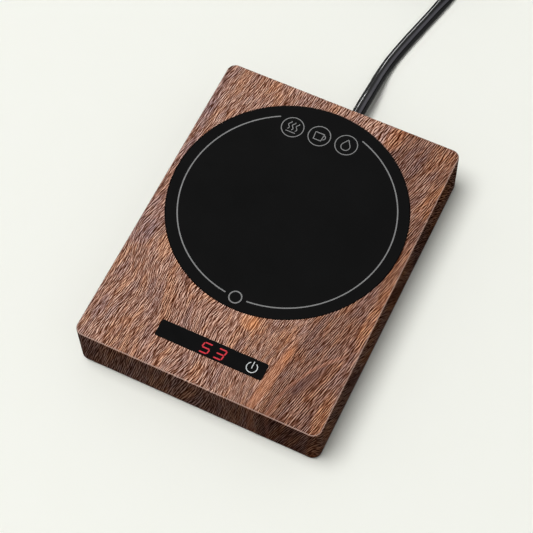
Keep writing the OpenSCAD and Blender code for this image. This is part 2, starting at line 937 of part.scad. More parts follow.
module touch_spring() {
    base = z_control + pcb_t + spring_wire / 2;
    rise = z_lens - base - spring_wire / 2;
    steps = 14;
    last = spring_turns * steps;
    color("#c9a063")
        translate([key_x, lens_y, base])
            tube([for (i = [0:last])
                let (a = 360 * i / steps)
                [spring_r * cos(a), spring_r * sin(a), rise * i / last]],
                spring_wire, spring_wire, sides = 6);
}

chip_h = 1.5;

// A chip of a length and width with a row of legs along each long side, lying on z = 0
module chip(l, w, legs) {
    translate([-l / 2, -w / 2, 0.1])
        cube([l, w, chip_h - 0.1]);
    for (i = [0:legs - 1], sy = [-1, 1])
        translate([(i - (legs - 1) / 2) * 1.27, sy * (w / 2 + 0.4), 0.3])
            cube([0.4, 1.2, 0.6], center = true);
}

module control_chip() {
    color("#2a2a2e")
        translate([2, lens_y, z_control])
            mirror([0, 0, 1])
                chip(10.2, 4, 8);
}

buzzer_x = control_hole_x - 7.5;

module buzzer() {
    color("#17171a")
        translate([buzzer_x, lens_y, z_control - 4.5])
            difference() {
                cylinder(d = 9.6, h = 4.5);
                translate([0, 0, -1])
                    cylinder(r = 1, h = 2.5);
            }
}

plug_in_l = 6.5;
plug_in_w = 12;
plug_in_h = 5.6;
harness_low_x = -power_w / 2;
harness_high_x = 3.6 - control_hole_x;

// The same five-way connector on both boards, mouth to the left
module harness_connector() {
    translate([0, -plug_in_w / 2, 0])
        difference() {
            cube([plug_in_l, plug_in_w, plug_in_h]);
            translate([plug_in_l - 1, 1, 0.8])
                cube([2, plug_in_w - 2, plug_in_h - 1.6]);
        }
}

module harness_connectors() {
    color("#f3efe2") {
        translate([harness_low_x, lens_y, z_power])
            harness_connector();
        translate([harness_high_x, lens_y, z_control - plug_in_h])
            harness_connector();
    }
}

module control_screws() {
    color("silver")
        control_screw_spots()
            translate([0, 0, z_control])
                screw(m2, pcb_t + board_drop - 0.5);
}

// ---------- power board ----------

module power_board() {
    color(board_green)
        translate([0, power_y, z_power - pcb_t])
            difference() {
                linear_extrude(pcb_t)
                    rounded_rect(power_w, power_l, 1.5);
                for (sx = [-1, 1], sy = [-1, 1])
                    translate([sx * power_hole_x, sy * power_hole_y, -1])
                        cylinder(d = m25[0] + 0.6, h = pcb_t + 2);
            }
}

// The parts on the power board are placed by shares of its half width
half_w = power_w / 2;
heater_terminal_x = -0.61 * half_w;
mains_terminal_x = 0.65 * half_w;
terminal_w = 10.6;
terminal_l = 9;
terminal_h = 9;
terminal_pitch = 5;
terminal_y = power_l / 2 - terminal_l / 2 - 1.5;
terminal_face = power_y + terminal_y + terminal_l / 2;
terminal_wire_z = z_power + 3;

// Two two-way terminals with a clamp screw over each pole and a wire mouth at the back
module screw_terminals() {
    color("#2f6f4a")
        for (x = [heater_terminal_x, mains_terminal_x])
            translate([x, power_y + terminal_y, z_power])
                difference() {
                    translate([-terminal_w / 2, -terminal_l / 2, 0])
                        cube([terminal_w, terminal_l, terminal_h]);
                    for (sx = [-1, 1])
                        translate([sx * terminal_pitch / 2, 0, terminal_h - 2]) {
                            cylinder(d = 3.8, h = 3);
                            translate([0, terminal_l / 2, 5 - terminal_h])
                                rotate([90, 0, 0])
                                    cylinder(d = 2.8, h = 3, center = true);
                        }
                }
}

sink_x = -0.3 * half_w;
sink_w = 14;
sink_l = 20;
sink_base = 2;
fin_t = 1.4;

module heat_sink() {
    color("#8d9196")
        translate([sink_x, power_y - 4, z_power]) {
            translate([-sink_w / 2, -sink_l / 2, 0])
                cube([sink_w, sink_l, sink_base]);
            for (sx = [-1, 1])
                translate([sx * (sink_w - fin_t) / 2 - fin_t / 2, -sink_l / 2, sink_base - eps])
                    cube([fin_t, sink_l, part_h - sink_base - 1]);
        }
}

module triac() {
    color("#1f1f22")
        translate([sink_x, power_y - 4, z_power + sink_base]) {
            translate([-5, -9, 0])
                cube([10, 9.2, 4.4]);
            difference() {
                translate([-5, 0, 0])
                    cube([10, 6.4, 1.3]);
                translate([0, 3.4, -1])
                    cylinder(d = 3.4, h = 3);
            }
            for (i = [-1:1])
                translate([i * 2.54 - 0.4, -11.5, 0]) {
                    translate([0, 0, 2])
                        cube([0.8, 2.6, 0.5]);
                    translate([0, 0, -sink_base])
                        cube([0.8, 0.5, sink_base + 2.5]);
                }
        }
}

module supply_inductor() {
    color("#3b3b40")
        translate([-0.02 * half_w, power_y - 8, z_power])
            rotate_extrude()
                polygon([[0, 0], [4, 0], [4, 1.4], [3.1, 1.4], [3.1, part_h - 1.4],
                    [4, part_h - 1.4], [4, part_h], [0, part_h]]);
}

module smoothing_capacitors() {
    color("#2c3450")
        for (y = [-9, 0])
            translate([0.16 * half_w, power_y + y, z_power])
                difference() {
                    cylinder(d = 6.3, h = part_h);
                    for (turn = [0, 90])
                        translate([0, 0, part_h])
                            rotate(turn)
                                cube([4, 0.4, 0.4], center = true);
                }
}

module film_capacitor() {
    color("#c9a227")
        translate([0.42 * half_w, power_y - 10, z_power])
            translate([-6.3, -3, 0])
                cube([12.6, 6, part_h]);
}

module varistor() {
    color("#2b5fa8")
        translate([0.39 * half_w, power_y, z_power + 0.5]) {
            translate([0, 0, 4])
                rotate([90, 0, 0])
                    cylinder(d = 8, h = 3.6, center = true);
            for (sx = [-1, 1])
                translate([sx * 2.5 - 0.3, -0.3, -0.5])
                    cube([0.6, 0.6, 2]);
        }
}

module input_fuse() {
    color("#d8d4c6")
        translate([0.67 * half_w, power_y - 4, z_power + 2.4])
            rotate([90, 0, 0]) {
                cylinder(d = 3.6, h = 10, center = true);
                for (sz = [-1, 1])
                    translate([0, 0, sz * 4])
                        cylinder(d = 4.2, h = 2.4, center = true);
                for (sz = [-1, 1])
                    translate([-0.4, -2.4, sz * 4 - 0.4])
                        cube([0.8, 1, 0.8]);
            }
}

module supply_chip() {
    color("#2a2a2e")
        translate([-0.63 * half_w, power_y - 6, z_power])
            chip(5, 4, 4);
}

module board_screws() {
    color("silver")
        power_screw_spots()
            translate([0, 0, z_power])
                mirror([0, 0, 1])
                    screw(m25, pcb_t + post_h - 0.7);
}

// ---------- wiring ----------

module display_harness() {
    low_z = z_power + plug_in_h / 2;
    high_z = z_control - plug_in_h / 2;
    bend = (high_z - low_z) / 2;
    back = harness_low_x - 2;
    for (i = [-2:2])
        color(i == -2 ? "#b3231f" : "#dedede")
            translate([0, lens_y + i * 2, 0])
                wire([[harness_high_x - 0.1, 0, high_z], [harness_high_x - 4, 0, high_z],
                    [back, 0, high_z], [back - bend * 0.75, 0, high_z - bend * 0.3],
                    [back - bend, 0, low_z + bend], [back - bend * 0.75, 0, low_z + bend * 0.3],
                    [back, 0, low_z], [harness_low_x - 0.1, 0, low_z]], 1.2, [0, 1, 0]);
}

lead_d = 1.6;
blade_wire_z = blade_bottom + 2;
stack_r = stack_d / 2;
tab_x = split + track_w / 2;
tab_y = disc_y - stack_r - tab_reach + 1.2;

// A point from the middle of the warming plate
function from_disc(x, y, z) = [disc_x + x, disc_y + y, z];

// A point under the stack, placed by shares of the stack's radius
function under_stack(x, y, z) = from_disc(x * stack_r, y * stack_r, z);

module heater_leads() {
    left_pole = heater_terminal_x - terminal_pitch / 2;
    right_pole = heater_terminal_x + terminal_pitch / 2;
    in_z = terminal_wire_z;
    fuse_in = fuse_at[0] - fuse_l / 2 - 0.15;
    fuse_out = fuse_at[0] + fuse_l / 2 + 0.15;
    color("#efefef") {
        // Terminal to the cut-out
        wire([[left_pole, terminal_face + 0.1, in_z], [left_pole, terminal_face + 6, in_z],
            under_stack(-0.52, -0.6, in_z - 2), under_stack(-0.4, -0.12, blade_wire_z),
            from_disc(-13, 0, blade_wire_z), from_disc(-arm_lever - 0.6, 0, blade_wire_z)], lead_d);
        // Cut-out to the thermal fuse
        wire([from_disc(live_x + strip_t + 0.1, 0, blade_wire_z), from_disc(9, -0.6, blade_wire_z),
            from_disc(fuse_in - 4, -6, fuse_z - 2.6), from_disc(fuse_in - 5, -13, fuse_z - 0.6),
            from_disc(fuse_in - 3, fuse_at[1], fuse_z),
            from_disc(fuse_in, fuse_at[1], fuse_z)], lead_d);
        // Thermal fuse to the foil's right tab
        wire([from_disc(fuse_out, fuse_at[1], fuse_z),
            from_disc(fuse_out + 4, fuse_at[1] - 1, fuse_z - 0.4),
            under_stack(0.54, -0.76, fuse_z - 2.6), under_stack(0.28, -1.02, fuse_z - 3),
            from_disc(tab_x + 2, tab_y - disc_y, fuse_z + 0.5),
            [disc_x + tab_x, tab_y, z_foil - 4], [disc_x + tab_x, tab_y, z_foil - 0.1]],
            lead_d, [0.2, 1, 0]);
        // Foil's left tab back to the terminal
        wire([[disc_x - tab_x, tab_y, z_foil - 0.1], [disc_x - tab_x, tab_y, z_foil - 4],
            [disc_x - tab_x - 4, tab_y - 0.5, in_z + 1.5],
            [right_pole + 5.5, terminal_face + 8, in_z], [right_pole, terminal_face + 4, in_z],
            [right_pole, terminal_face + 0.1, in_z]], lead_d, [1, 0.15, 0]);
    }
}

sheath_end = clamp_y - clamp_l / 2 - 3;

// The two cores run beside the heater, from the end of the sheath to the mains terminal
module mains_leads() {
    low = z_cover + 2.2;
    start = sheath_end - 0.1;
    run = start - terminal_face;
    right_pole = mains_terminal_x + terminal_pitch / 2;
    left_pole = mains_terminal_x - terminal_pitch / 2;
    in_z = terminal_wire_z;
    aside = 0.36 * body_w;
    color("#5a3a28")
        wire([[cord_x + 1.7, start, cord_z], [cord_x + 2, start - 0.05 * run, cord_z],
            [cord_x + 11, start - 0.11 * run, low + 1],
            [0.78 * aside, start - 0.17 * run, low], [aside, start - 0.3 * run, low],
            [aside, start - 0.7 * run, low], [0.91 * aside, start - 0.85 * run, low + 1.8],
            [right_pole + 1, terminal_face + 6, in_z],
            [right_pole, terminal_face + 0.1, in_z]], lead_d);
    color("#2f5f9a")
        wire([[cord_x - 1.7, start, cord_z], [cord_x - 1.5, start - 0.07 * run, cord_z],
            [cord_x + 9, start - 0.14 * run, low + 1],
            [0.74 * aside, start - 0.2 * run, low], [0.94 * aside, start - 0.32 * run, low],
            [0.94 * aside, start - 0.71 * run, low], [0.83 * aside, start - 0.86 * run, low + 1.8],
            [left_pole + 1, terminal_face + 6, in_z],
            [left_pole, terminal_face + 0.1, in_z]], lead_d);
}

sensor_pad = [-13, power_l / 2 - 3];

// Route of the sensor's pair of wires: x, y, z, and half of the way from one wire to the other
module sensor_leads() {
    low = z_cover + 2;
    aside = -0.28 * body_w;
    pad_y = power_y + sensor_pad[1];
    head_x = disc_x;
    head_y = disc_y + sensor_y;
    route = [[head_x, head_y, sensor_end - 0.15, 0.9, 0],
        [head_x, head_y, sensor_end - 3.5, 0.9, 0],
        [head_x - 0.24 * stack_r, head_y - 0.1 * stack_r, low + 3, 0.5, -0.8],
        [head_x - 0.58 * stack_r, head_y - 0.32 * stack_r, low, 0.6, -0.7],
        [aside, disc_y - 0.36 * stack_r, low, 0.9, 0],
        [0.86 * aside, pad_y + 0.44 * stack_r, low, 0.8, 0.4],
        [sensor_pad[0] - 5, pad_y + 10, low + 2, 0.7, 0.6],
        [sensor_pad[0], pad_y + 4, z_power + 2, 0.9, 0.1],
        [sensor_pad[0], pad_y + 0.6, z_power + 2.4, 0.9, 0],
        [sensor_pad[0], pad_y, z_power + 0.1, 0.9, 0]];
    color("#2b2b2e")
        for (i = [-1, 1])
            wire([for (r = route) [r[0] + i * r[3], r[1] + i * r[4], r[2]]], 1, [1, 0.1, 0]);
}

// ---------- lead and plug ----------

module cord_sheath() {
    color(black)
        translate([cord_x, sheath_end, cord_z])
            slot_bar(cord_w, cord_t, rear - sheath_end);
}

tip_w = cord_w + 0.9;
tip_h = cord_t + 0.9;

module strain_relief() {
    flange_w = relief_w + 5;
    flange_h = relief_h + 1.2;
    color(black)
        translate([cord_x, 0, cord_z])
            difference() {
                union() {
                    translate([0, inner_rear - eps, 0])
                        slot_bar(relief_w, relief_h, wall_t + 2 * eps);
                    translate([0, inner_rear - relief_flange, 0])
                        slot_bar(flange_w, flange_h, relief_flange);
                    translate([0, inner_rear - relief_flange - relief_in, 0])
                        slot_bar(relief_w - 1, relief_h - 1, relief_in + eps);
                    hull() {
                        translate([0, rear, 0])
                            slot_bar(relief_w, relief_h, 1, $fn = 32);
                        translate([0, relief_end - 0.5, 0])
                            slot_bar(tip_w, tip_h, 0.5, $fn = 32);
                    }
                }
                translate([0, inner_rear - relief_flange - relief_in - 1, 0])
                    slot_bar(cord_w + 2 * snug_gap, cord_t + 2 * snug_gap, relief_l + 2);
            }
}

clamp_w = 2 * clamp_reach + 7;
clamp_t = 2.4;

module cord_clamp() {
    color("#e6e2d8")
        translate([cord_x, clamp_y, cord_top])
            difference() {
                translate([-clamp_w / 2, -clamp_l / 2, 0])
                    cube([clamp_w, clamp_l, clamp_t]);
                for (sx = [-1, 1])
                    translate([sx * clamp_reach, 0, -1])
                        cylinder(d = m25[0] + 0.5, h = clamp_t + 2);
            }
}

module clamp_screws() {
    color("silver")
        clamp_screw_spots()
            translate([0, 0, cord_top + clamp_t])
                mirror([0, 0, 1])
                    screw(m25, clamp_t + 4.5);
}

// Where the lead leaves the wall, which its routes are counted from, and its height on the floor
exit_at = [cord_x, rear];
lie_z = cord_t / 2 + 0.05;

// Route of the lead from the wall to the coil: x and y from the exit, z, roll of the flat section
cord_route = [
    [0, 0, cord_z, 0], [0, 5, cord_z, 0], [0, 10, cord_z, 0], [0, 16.5, cord_z - 0.2, 0],
    [0.1, 22.5, 7.6, 0], [0, 28.5, 6.3, 0], [-0.1, 34.5, 4.8, 0], [-0.2, 40.5, 3.4, 0],
    [0, 46.5, 2.3, 0], [0.6, 52.5, lie_z + 0.1, 0], [1.6, 58.5, lie_z, 0], [2.8, 64.5, lie_z, 0],
    [4.1, 70.5, lie_z, 0], [5.5, 76.5, lie_z, 0], [6.9, 82.5, lie_z, 0], [8.3, 88.5, lie_z, 0],
    [9.7, 94.5, 1.9, 4], [11.1, 100.5, 2.1, 16], [12.5, 106.5, 2.6, 34], [13.9, 112.5, 3.3, 56],
    [15.3, 118.5, 4.1, 78], [16.6, 124.5, 4.4, 90]];

// Route of the lead from the coil to the plug, flat again where it enters the plug
plug_route = [
    [-57.6, 157.1, 11.4, 90], [-60.6, 150.8, 11.4, 90], [-63.5, 144.4, 11.4, 82],
    [-66.5, 138.1, 10.8, 60], [-69.4, 131.7, 9.6, 34], [-72.4, 125.4, 8.3, 10],
    [-75.3, 119, 7.6, 0]];

coil_at = exit_at + [-22, 140.5];
coil_mid_r = 37.5;
coil_turn_t = 3.6;
coil_lift = 1;
coil_half = 1.5 * coil_turn_t;
layer_h = cord_w + 0.1;
coil_h = 2 * layer_h;

function places(route) = [for (r = route) [exit_at[0] + r[0], exit_at[1] + r[1], r[2]]];

function rolls(route) = [for (r = route) r[3]];

module power_cord() {
    color(black)
        tube(places(cord_route), cord_w, cord_t, rolls(cord_route), 10);
}

module plug_lead() {
    color(black)
        tube(places(plug_route), cord_w, cord_t, rolls(plug_route), 10);
}

// The outer shape of the wound lead: three turns side by side, and two more that lie on them
module cord_coil() {
    color(black)
        translate([coil_at[0], coil_at[1], coil_lift])
            rotate_extrude()
                translate([coil_mid_r, 0]) {
                    translate([-coil_half, 0])
                        square([2 * coil_half, layer_h]);
                    translate([-coil_turn_t, 0])
                        square([2 * coil_turn_t, coil_h]);
                }
}

tie_t = 0.8;
tie_w = 5;

module coil_ties() {
    inner = [2 * coil_half + 0.8, coil_h + 0.3];
    color("#3a3a3d")
        for (turn = [45, 225])
            translate([coil_at[0], coil_at[1], 0])
                rotate(turn)
                    translate([coil_mid_r, 0, coil_lift + coil_h / 2])
                        difference() {
                            cube([inner[0] + 2 * tie_t, tie_w, inner[1] + 2 * tie_t - 0.1],
                                center = true);
                            cube([inner[0], tie_w + 2, inner[1]], center = true);
                        }
}

plug_at = places(plug_route)[len(plug_route) - 1];
plug_turn = -25;
boot_l = 12;

// Places its children at the end of the lead, with the lead's way out of it along +Y
module at_plug() {
    translate([plug_at[0], plug_at[1], plug_at[2]])
        rotate(plug_turn)
            children();
}

// Moulded plug: a tapered boot, a waisted grip and a flat front face
module plug_body() {
    color(black)
        at_plug()
            mirror([0, 1, 0])
                difference() {
                    union() {
                        hull() {
                            slot_bar(cord_w + 1.2, cord_t + 1.2, 0.5, $fn = 32);
                            translate([0, boot_l - 1, 0])
                                slot_bar(12, 8, 1, $fn = 32);
                        }
                        hull() {
                            translate([0, boot_l - 1, 0])
                                slot_bar(13, 9.5, 1, $fn = 32);
                            translate([0, boot_l + plug_l * 0.5, 0])
                                plug_slice(plug_w - 5, plug_t - 2);
                        }
                        hull() {
                            translate([0, boot_l + plug_l * 0.5, 0])
                                plug_slice(plug_w - 5, plug_t - 2);
                            translate([0, boot_l + plug_l - 4, 0])
                                plug_slice(plug_w, plug_t);
                            translate([0, boot_l + plug_l - 1, 0])
                                plug_slice(plug_w - 0.6, plug_t - 0.6);
                        }
                    }
                    for (sx = [-1, 1])
                        translate([sx * blade_pitch / 2, boot_l + plug_l, 0])
                            cube([blade_t + 2 * snug_gap, 2 * blade_root, blade_h_wide + 2 * snug_gap],
                                center = true);
                }
}

module plug_slice(w, t) {
    rotate([90, 0, 0])
        translate([0, 0, -1])
            linear_extrude(1)
                rounded_rect(w, t, 4, $fn = 32);
}

blade_t = 1.5;
blade_h_wide = 6.35;
blade_root = 6;

// Two flat parallel blades with the usual hole near the tip
module plug_blades() {
    color("#c9a85c")
        at_plug()
            for (sx = [-1, 1])
                translate([sx * blade_pitch / 2, -boot_l - plug_l, 0])
                    difference() {
                        translate([-blade_t / 2, -blade_l, -blade_h_wide / 2])
                            cube([blade_t, blade_l + blade_root - 0.1, blade_h_wide]);
                        translate([0, 5 - blade_l, 0])
                            rotate([0, 90, 0])
                                cylinder(d = 3.1, h = 4, center = true);
                    }
}

upper_housing();
bottom_cover();
rubber_feet();
cover_screws();
glass_disc();
glass_gasket();
heat_spreader();
upper_mica();
heater_foil();
lower_mica();
insulation_pad();
pressure_plate();
plate_screws();
cutout_cap();
bimetal_disc();
guide_disc();
trip_pin();
contact_arm();
moving_contact();
contact_terminals();
cutout_case();
cutout_flange();
bracket_screws();
thermal_fuse();
fuse_clip();
temperature_sensor();
display_lens();
digit_shade();
control_board();
touch_spring();
control_chip();
buzzer();
harness_connectors();
control_screws();
power_board();
screw_terminals();
heat_sink();
triac();
supply_inductor();
smoothing_capacitors();
film_capacitor();
varistor();
input_fuse();
supply_chip();
board_screws();
display_harness();
heater_leads();
mains_leads();
sensor_leads();
cord_sheath();
strain_relief();
cord_clamp();
clamp_screws();
power_cord();
cord_coil();
coil_ties();
plug_lead();
plug_body();
plug_blades();
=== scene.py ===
import math
import bmesh
import bpy
from mathutils import Matrix, Vector


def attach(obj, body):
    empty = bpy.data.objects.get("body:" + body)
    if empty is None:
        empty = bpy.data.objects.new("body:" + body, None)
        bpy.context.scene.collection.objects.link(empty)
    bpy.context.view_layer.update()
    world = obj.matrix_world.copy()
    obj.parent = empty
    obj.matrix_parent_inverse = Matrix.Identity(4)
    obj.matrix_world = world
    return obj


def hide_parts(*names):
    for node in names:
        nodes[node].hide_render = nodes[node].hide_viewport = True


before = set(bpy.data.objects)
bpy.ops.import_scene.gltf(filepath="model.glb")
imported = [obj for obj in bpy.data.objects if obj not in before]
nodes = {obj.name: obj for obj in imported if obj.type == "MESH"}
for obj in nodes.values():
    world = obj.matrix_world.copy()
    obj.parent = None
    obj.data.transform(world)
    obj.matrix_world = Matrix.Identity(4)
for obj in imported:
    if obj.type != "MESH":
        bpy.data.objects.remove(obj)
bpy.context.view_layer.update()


# ---------------------------------------------------------------------------
# Camera
# A long lens above the front right corner. Its place, turn and lens were fitted to the corners of
# the housing and the rim of the glass.
camera_turn, camera_rise, camera_roll = (math.radians(a) for a in (27.9045, 62.4162, -2.3148))
towards = Vector((math.sin(camera_turn) * math.cos(camera_rise),
                  -math.cos(camera_turn) * math.cos(camera_rise), math.sin(camera_rise)))
level = Vector((0, 0, 1)).cross(towards).normalized()
upright = towards.cross(level)
camera_right = math.cos(camera_roll) * level + math.sin(camera_roll) * upright
camera_up = -math.sin(camera_roll) * level + math.cos(camera_roll) * upright
camera_at = (0.18226, -0.35115, 0.75808)
camera_data = bpy.data.cameras.new("camera")
camera_data.lens = 115.479
camera_data.sensor_width = 36
camera = bpy.data.objects.new("camera", camera_data)
camera.matrix_world = (Matrix.Translation(camera_at)
                       @ Matrix((camera_right, camera_up, towards)).transposed().to_4x4())
bpy.context.scene.collection.objects.link(camera)
bpy.context.scene.camera = camera


# ---------------------------------------------------------------------------
# Mains lead
# Flat two-core PVC lead, 6.8 by 3.5 mm and 1.23 m long. It leaves the back wall and drops to the
# table. Past the view it stands on edge in a tied coil of four and a half turns, up to the plug.
mm = 0.001
lead_w, lead_t = 6.8, 3.5
exit_x, exit_y, exit_z = 3.0, 84.5, 8.5
lie_z = lead_t / 2 + 0.05
# Points of the route, in millimetres from the exit, with the lead's tilt in degrees
out_route = [
    (0, 0, exit_z, 0), (0, 5, exit_z, 0), (0, 10, exit_z, 0), (0, 16.5, exit_z - 0.2, 0),
    (0.1, 22.5, 7.6, 0), (0, 28.5, 6.3, 0), (-0.1, 34.5, 4.8, 0), (-0.2, 40.5, 3.4, 0),
    (0, 46.5, 2.3, 0), (0.6, 52.5, lie_z + 0.1, 0), (1.6, 58.5, lie_z, 0), (2.8, 64.5, lie_z, 0),
    (4.1, 70.5, lie_z, 0), (5.5, 76.5, lie_z, 0), (6.9, 82.5, lie_z, 0), (8.3, 88.5, lie_z, 0),
    (9.7, 94.5, 1.95, 4), (11.1, 100.5, 2.3, 16), (12.5, 106.5, 2.8, 34), (13.9, 112.5, 3.35, 56),
    (15.3, 118.5, 4.1, 78), (16.6, 124.5, 4.4, 90)]
plug_route = [
    (-57.6, 157.1, 11.4, 90), (-60.6, 150.8, 11.4, 90), (-63.5, 144.4, 11.4, 82),
    (-66.5, 138.1, 10.8, 60), (-69.4, 131.7, 9.6, 34), (-72.4, 125.4, 8.3, 10),
    (-75.3, 119, 7.6, 0)]
coil_x, coil_y = -22, 140.5
coil_start = -13.4
outer_r, turn_step = 41.1, 3.6
lower_z, upper_z = 4.4, 11.4


def eased(value, low, high):
    share = min(max((value - low) / (high - low), 0), 1)
    return share * share * (3 - 2 * share)


def coil_point(swept):
    """A point of the coil after a sweep in degrees. Three turns lie inside each other, and the
    rest lie on them."""
    radius = (outer_r - turn_step * eased(swept, 310, 360) - turn_step * eased(swept, 670, 720)
              + turn_step / 2 * eased(swept, 1020, 1050) + turn_step * eased(swept, 1330, 1380))
    height = lower_z + (upper_z - lower_z) * eased(swept, 965, 1020)
    angle = math.radians(coil_start + swept)
    return (coil_x + radius * math.cos(angle), coil_y + radius * math.sin(angle), height, 90)


def smooth_route(points, steps):
    """Points on a smooth curve through all the given ones."""
    last = len(points) - 1
    made = []
    for i in range(last):
        a, b, c, d = (Vector(points[min(max(k, 0), last)]) for k in (i - 1, i, i + 1, i + 2))
        for k in range(steps):
            t = k / steps
            made.append(0.5 * (2 * b + (c - a) * t + (2 * a - 5 * b + 4 * c - d) * t * t
                               + (3 * b - a - 3 * c + d) * t * t * t))
    return made + [Vector(points[last])]


coil_route = [coil_point(swept) for swept in range(6, 1600, 9)]
lead_route = (smooth_route(out_route, 3) + [Vector(p) for p in coil_route]
              + smooth_route(plug_route, 3))
lead_path = [Vector((p[0] + exit_x, p[1] + exit_y, p[2])) * mm for p in lead_route]

# Flat sheath: a round core at one edge, a finely ribbed face, a groove, and the other core
half_section = [(-1.25 + 2.15 * math.cos(math.radians(t)), 1.75 * math.sin(math.radians(t)))
                for t in range(180, 95, -12)]
half_section += [(-1.1, 1.745), (-0.7, 1.735), (-0.3, 1.73)]
half_section += [(-0.15 + 0.15 * k, 1.72 - 0.045 * (k % 2)) for k in range(12)]
half_section += [(1.66, 1.62), (1.8, 1.5), (1.92, 1.2), (2.04, 1.45)]
half_section += [(2.25 + 1.15 * math.cos(math.radians(t)), 1.62 * math.sin(math.radians(t)))
                 for t in range(96, -1, -12)]
lead_section = half_section + [(x, -y) for x, y in reversed(half_section[1:-1])]

# The section swept along the route
profile_curve = bpy.data.curves.new("lead_profile", "CURVE")
profile_line = profile_curve.splines.new("POLY")
profile_line.points.add(len(lead_section) - 1)
for point, (x, y) in zip(profile_line.points, lead_section):
    point.co = (x * mm, y * mm, 0, 1)
profile_line.use_cyclic_u = True
profile = bpy.data.objects.new("lead_profile", profile_curve)
bpy.context.scene.collection.objects.link(profile)
sweep_curve = bpy.data.curves.new("lead_sweep", "CURVE")
sweep_curve.dimensions = "3D"
sweep_curve.twist_mode = "Z_UP"
sweep_curve.bevel_mode = "OBJECT"
sweep_curve.bevel_object = profile
sweep_curve.use_fill_caps = True
sweep_line = sweep_curve.splines.new("POLY")
sweep_line.points.add(len(lead_path) - 1)
for point, place, route in zip(sweep_line.points, lead_path, lead_route):
    point.co = (*place, 1)
    point.tilt = math.radians(route[3])
sweep = bpy.data.objects.new("lead_sweep", sweep_curve)
bpy.context.scene.collection.objects.link(sweep)
bpy.context.view_layer.update()
lead_mesh = bpy.data.meshes.new_from_object(
    sweep.evaluated_get(bpy.context.evaluated_depsgraph_get()))
for helper, curve in ((sweep, sweep_curve), (profile, profile_curve)):
    bpy.data.objects.remove(helper)
    bpy.data.curves.remove(curve)
lead_shape = bmesh.new()
lead_shape.from_mesh(lead_mesh)
bmesh.ops.remove_doubles(lead_shape, verts=lead_shape.verts, dist=1e-7)
bmesh.ops.recalc_face_normals(lead_shape, faces=lead_shape.faces)


def put(tree, kind, values=(), **settings):
    """A new node with some inputs set or linked and some properties set."""
    made = tree.nodes.new(kind)
    for key, value in settings.items():
        setattr(made, key, value)
    for key, value in dict(values).items():
        if isinstance(value, bpy.types.NodeSocket):
            tree.links.new(value, made.inputs[key])
        else:
            made.inputs[key].default_value = value
    return made


def maths(tree, operation, a, b=0.0, c=0.0):
    return put(tree, "ShaderNodeMath", {0: a, 1: b, 2: c}, operation=operation).outputs[0]


def ranged(tree, value, low, high, to_low=0.0, to_high=1.0, smooth=True):
    return put(tree, "ShaderNodeMapRange", {
        "Value": value, "From Min": low, "From Max": high, "To Min": to_low, "To Max": to_high},
        interpolation_type="SMOOTHSTEP" if smooth else "LINEAR").outputs[0]


def blend_colours(tree, share, a, b, mode="MIX"):
    made = put(tree, "ShaderNodeMix", {0: share, 6: a, 7: b}, data_type="RGBA", blend_type=mode)
    return made.outputs[2]


def srgb(red, green, blue):
    """A colour written as it looks, from 0 to 255."""
    linear = [((v / 255 + 0.055) / 1.055) ** 2.4 if v > 10 else v / 255 / 12.92
              for v in (red, green, blue)]
    return (*linear, 1)


def shader_group(name, inputs, outputs):
    group = bpy.data.node_groups.new(name, "ShaderNodeTree")
    for label, kind, value in inputs:
        socket = group.interface.new_socket(label, in_out="INPUT", socket_type=kind)
        if value is not None:
            socket.default_value = value
    for label, kind in outputs:
        group.interface.new_socket(label, in_out="OUTPUT", socket_type=kind)
    return group, group.nodes.new("NodeGroupInput").outputs, group.nodes.new("NodeGroupOutput")


# One effect that most finishes share: a mottled colour, an uneven gloss and a fine texture
COLOUR, VALUE, VECTOR = "NodeSocketColor", "NodeSocketFloat", "NodeSocketVector"
fine_surface, given, result = shader_group(
    "fine surface",
    [("Colour", COLOUR, (0.5, 0.5, 0.5, 1)), ("Second Colour", COLOUR, (0.4, 0.4, 0.4, 1)),
     ("Place", VECTOR, None), ("Mottle Size", VALUE, 0.01), ("Grain Size", VALUE, 0.0005),
     ("Dull", VALUE, 0.5), ("Shiny", VALUE, 0.4), ("Relief", VALUE, 0.2),
     ("Depth", VALUE, 0.00005)],
    [("Colour", COLOUR), ("Roughness", VALUE), ("Normal", VECTOR)])
mottle = put(fine_surface, "ShaderNodeTexNoise", {
    "Vector": given["Place"], "Scale": maths(fine_surface, "DIVIDE", 1.0, given["Mottle Size"]),
    "Detail": 3.0, "Roughness": 0.6})
grain = put(fine_surface, "ShaderNodeTexNoise", {
    "Vector": given["Place"], "Scale": maths(fine_surface, "DIVIDE", 1.0, given["Grain Size"]),
    "Detail": 2.0, "Roughness": 0.5})
spread = ranged(fine_surface, mottle.outputs[0], 0.3, 0.7, smooth=False)
gloss = maths(fine_surface, "ADD", maths(fine_surface, "MULTIPLY", grain.outputs[0], 0.4),
              maths(fine_surface, "MULTIPLY", spread, 0.6))
fine_surface.links.new(
    blend_colours(fine_surface, spread, given["Colour"], given["Second Colour"]),
    result.inputs["Colour"])
fine_surface.links.new(
    ranged(fine_surface, gloss, 0.0, 1.0, given["Shiny"], given["Dull"], smooth=False),
    result.inputs["Roughness"])
fine_surface.links.new(put(fine_surface, "ShaderNodeBump", {
    "Height": grain.outputs[0], "Strength": given["Relief"],
    "Distance": given["Depth"]}).outputs[0], result.inputs["Normal"])


def new_material(name):
    made = bpy.data.materials.new(name)
    made.use_nodes = True
    return made, made.node_tree, made.node_tree.nodes["Principled BSDF"]


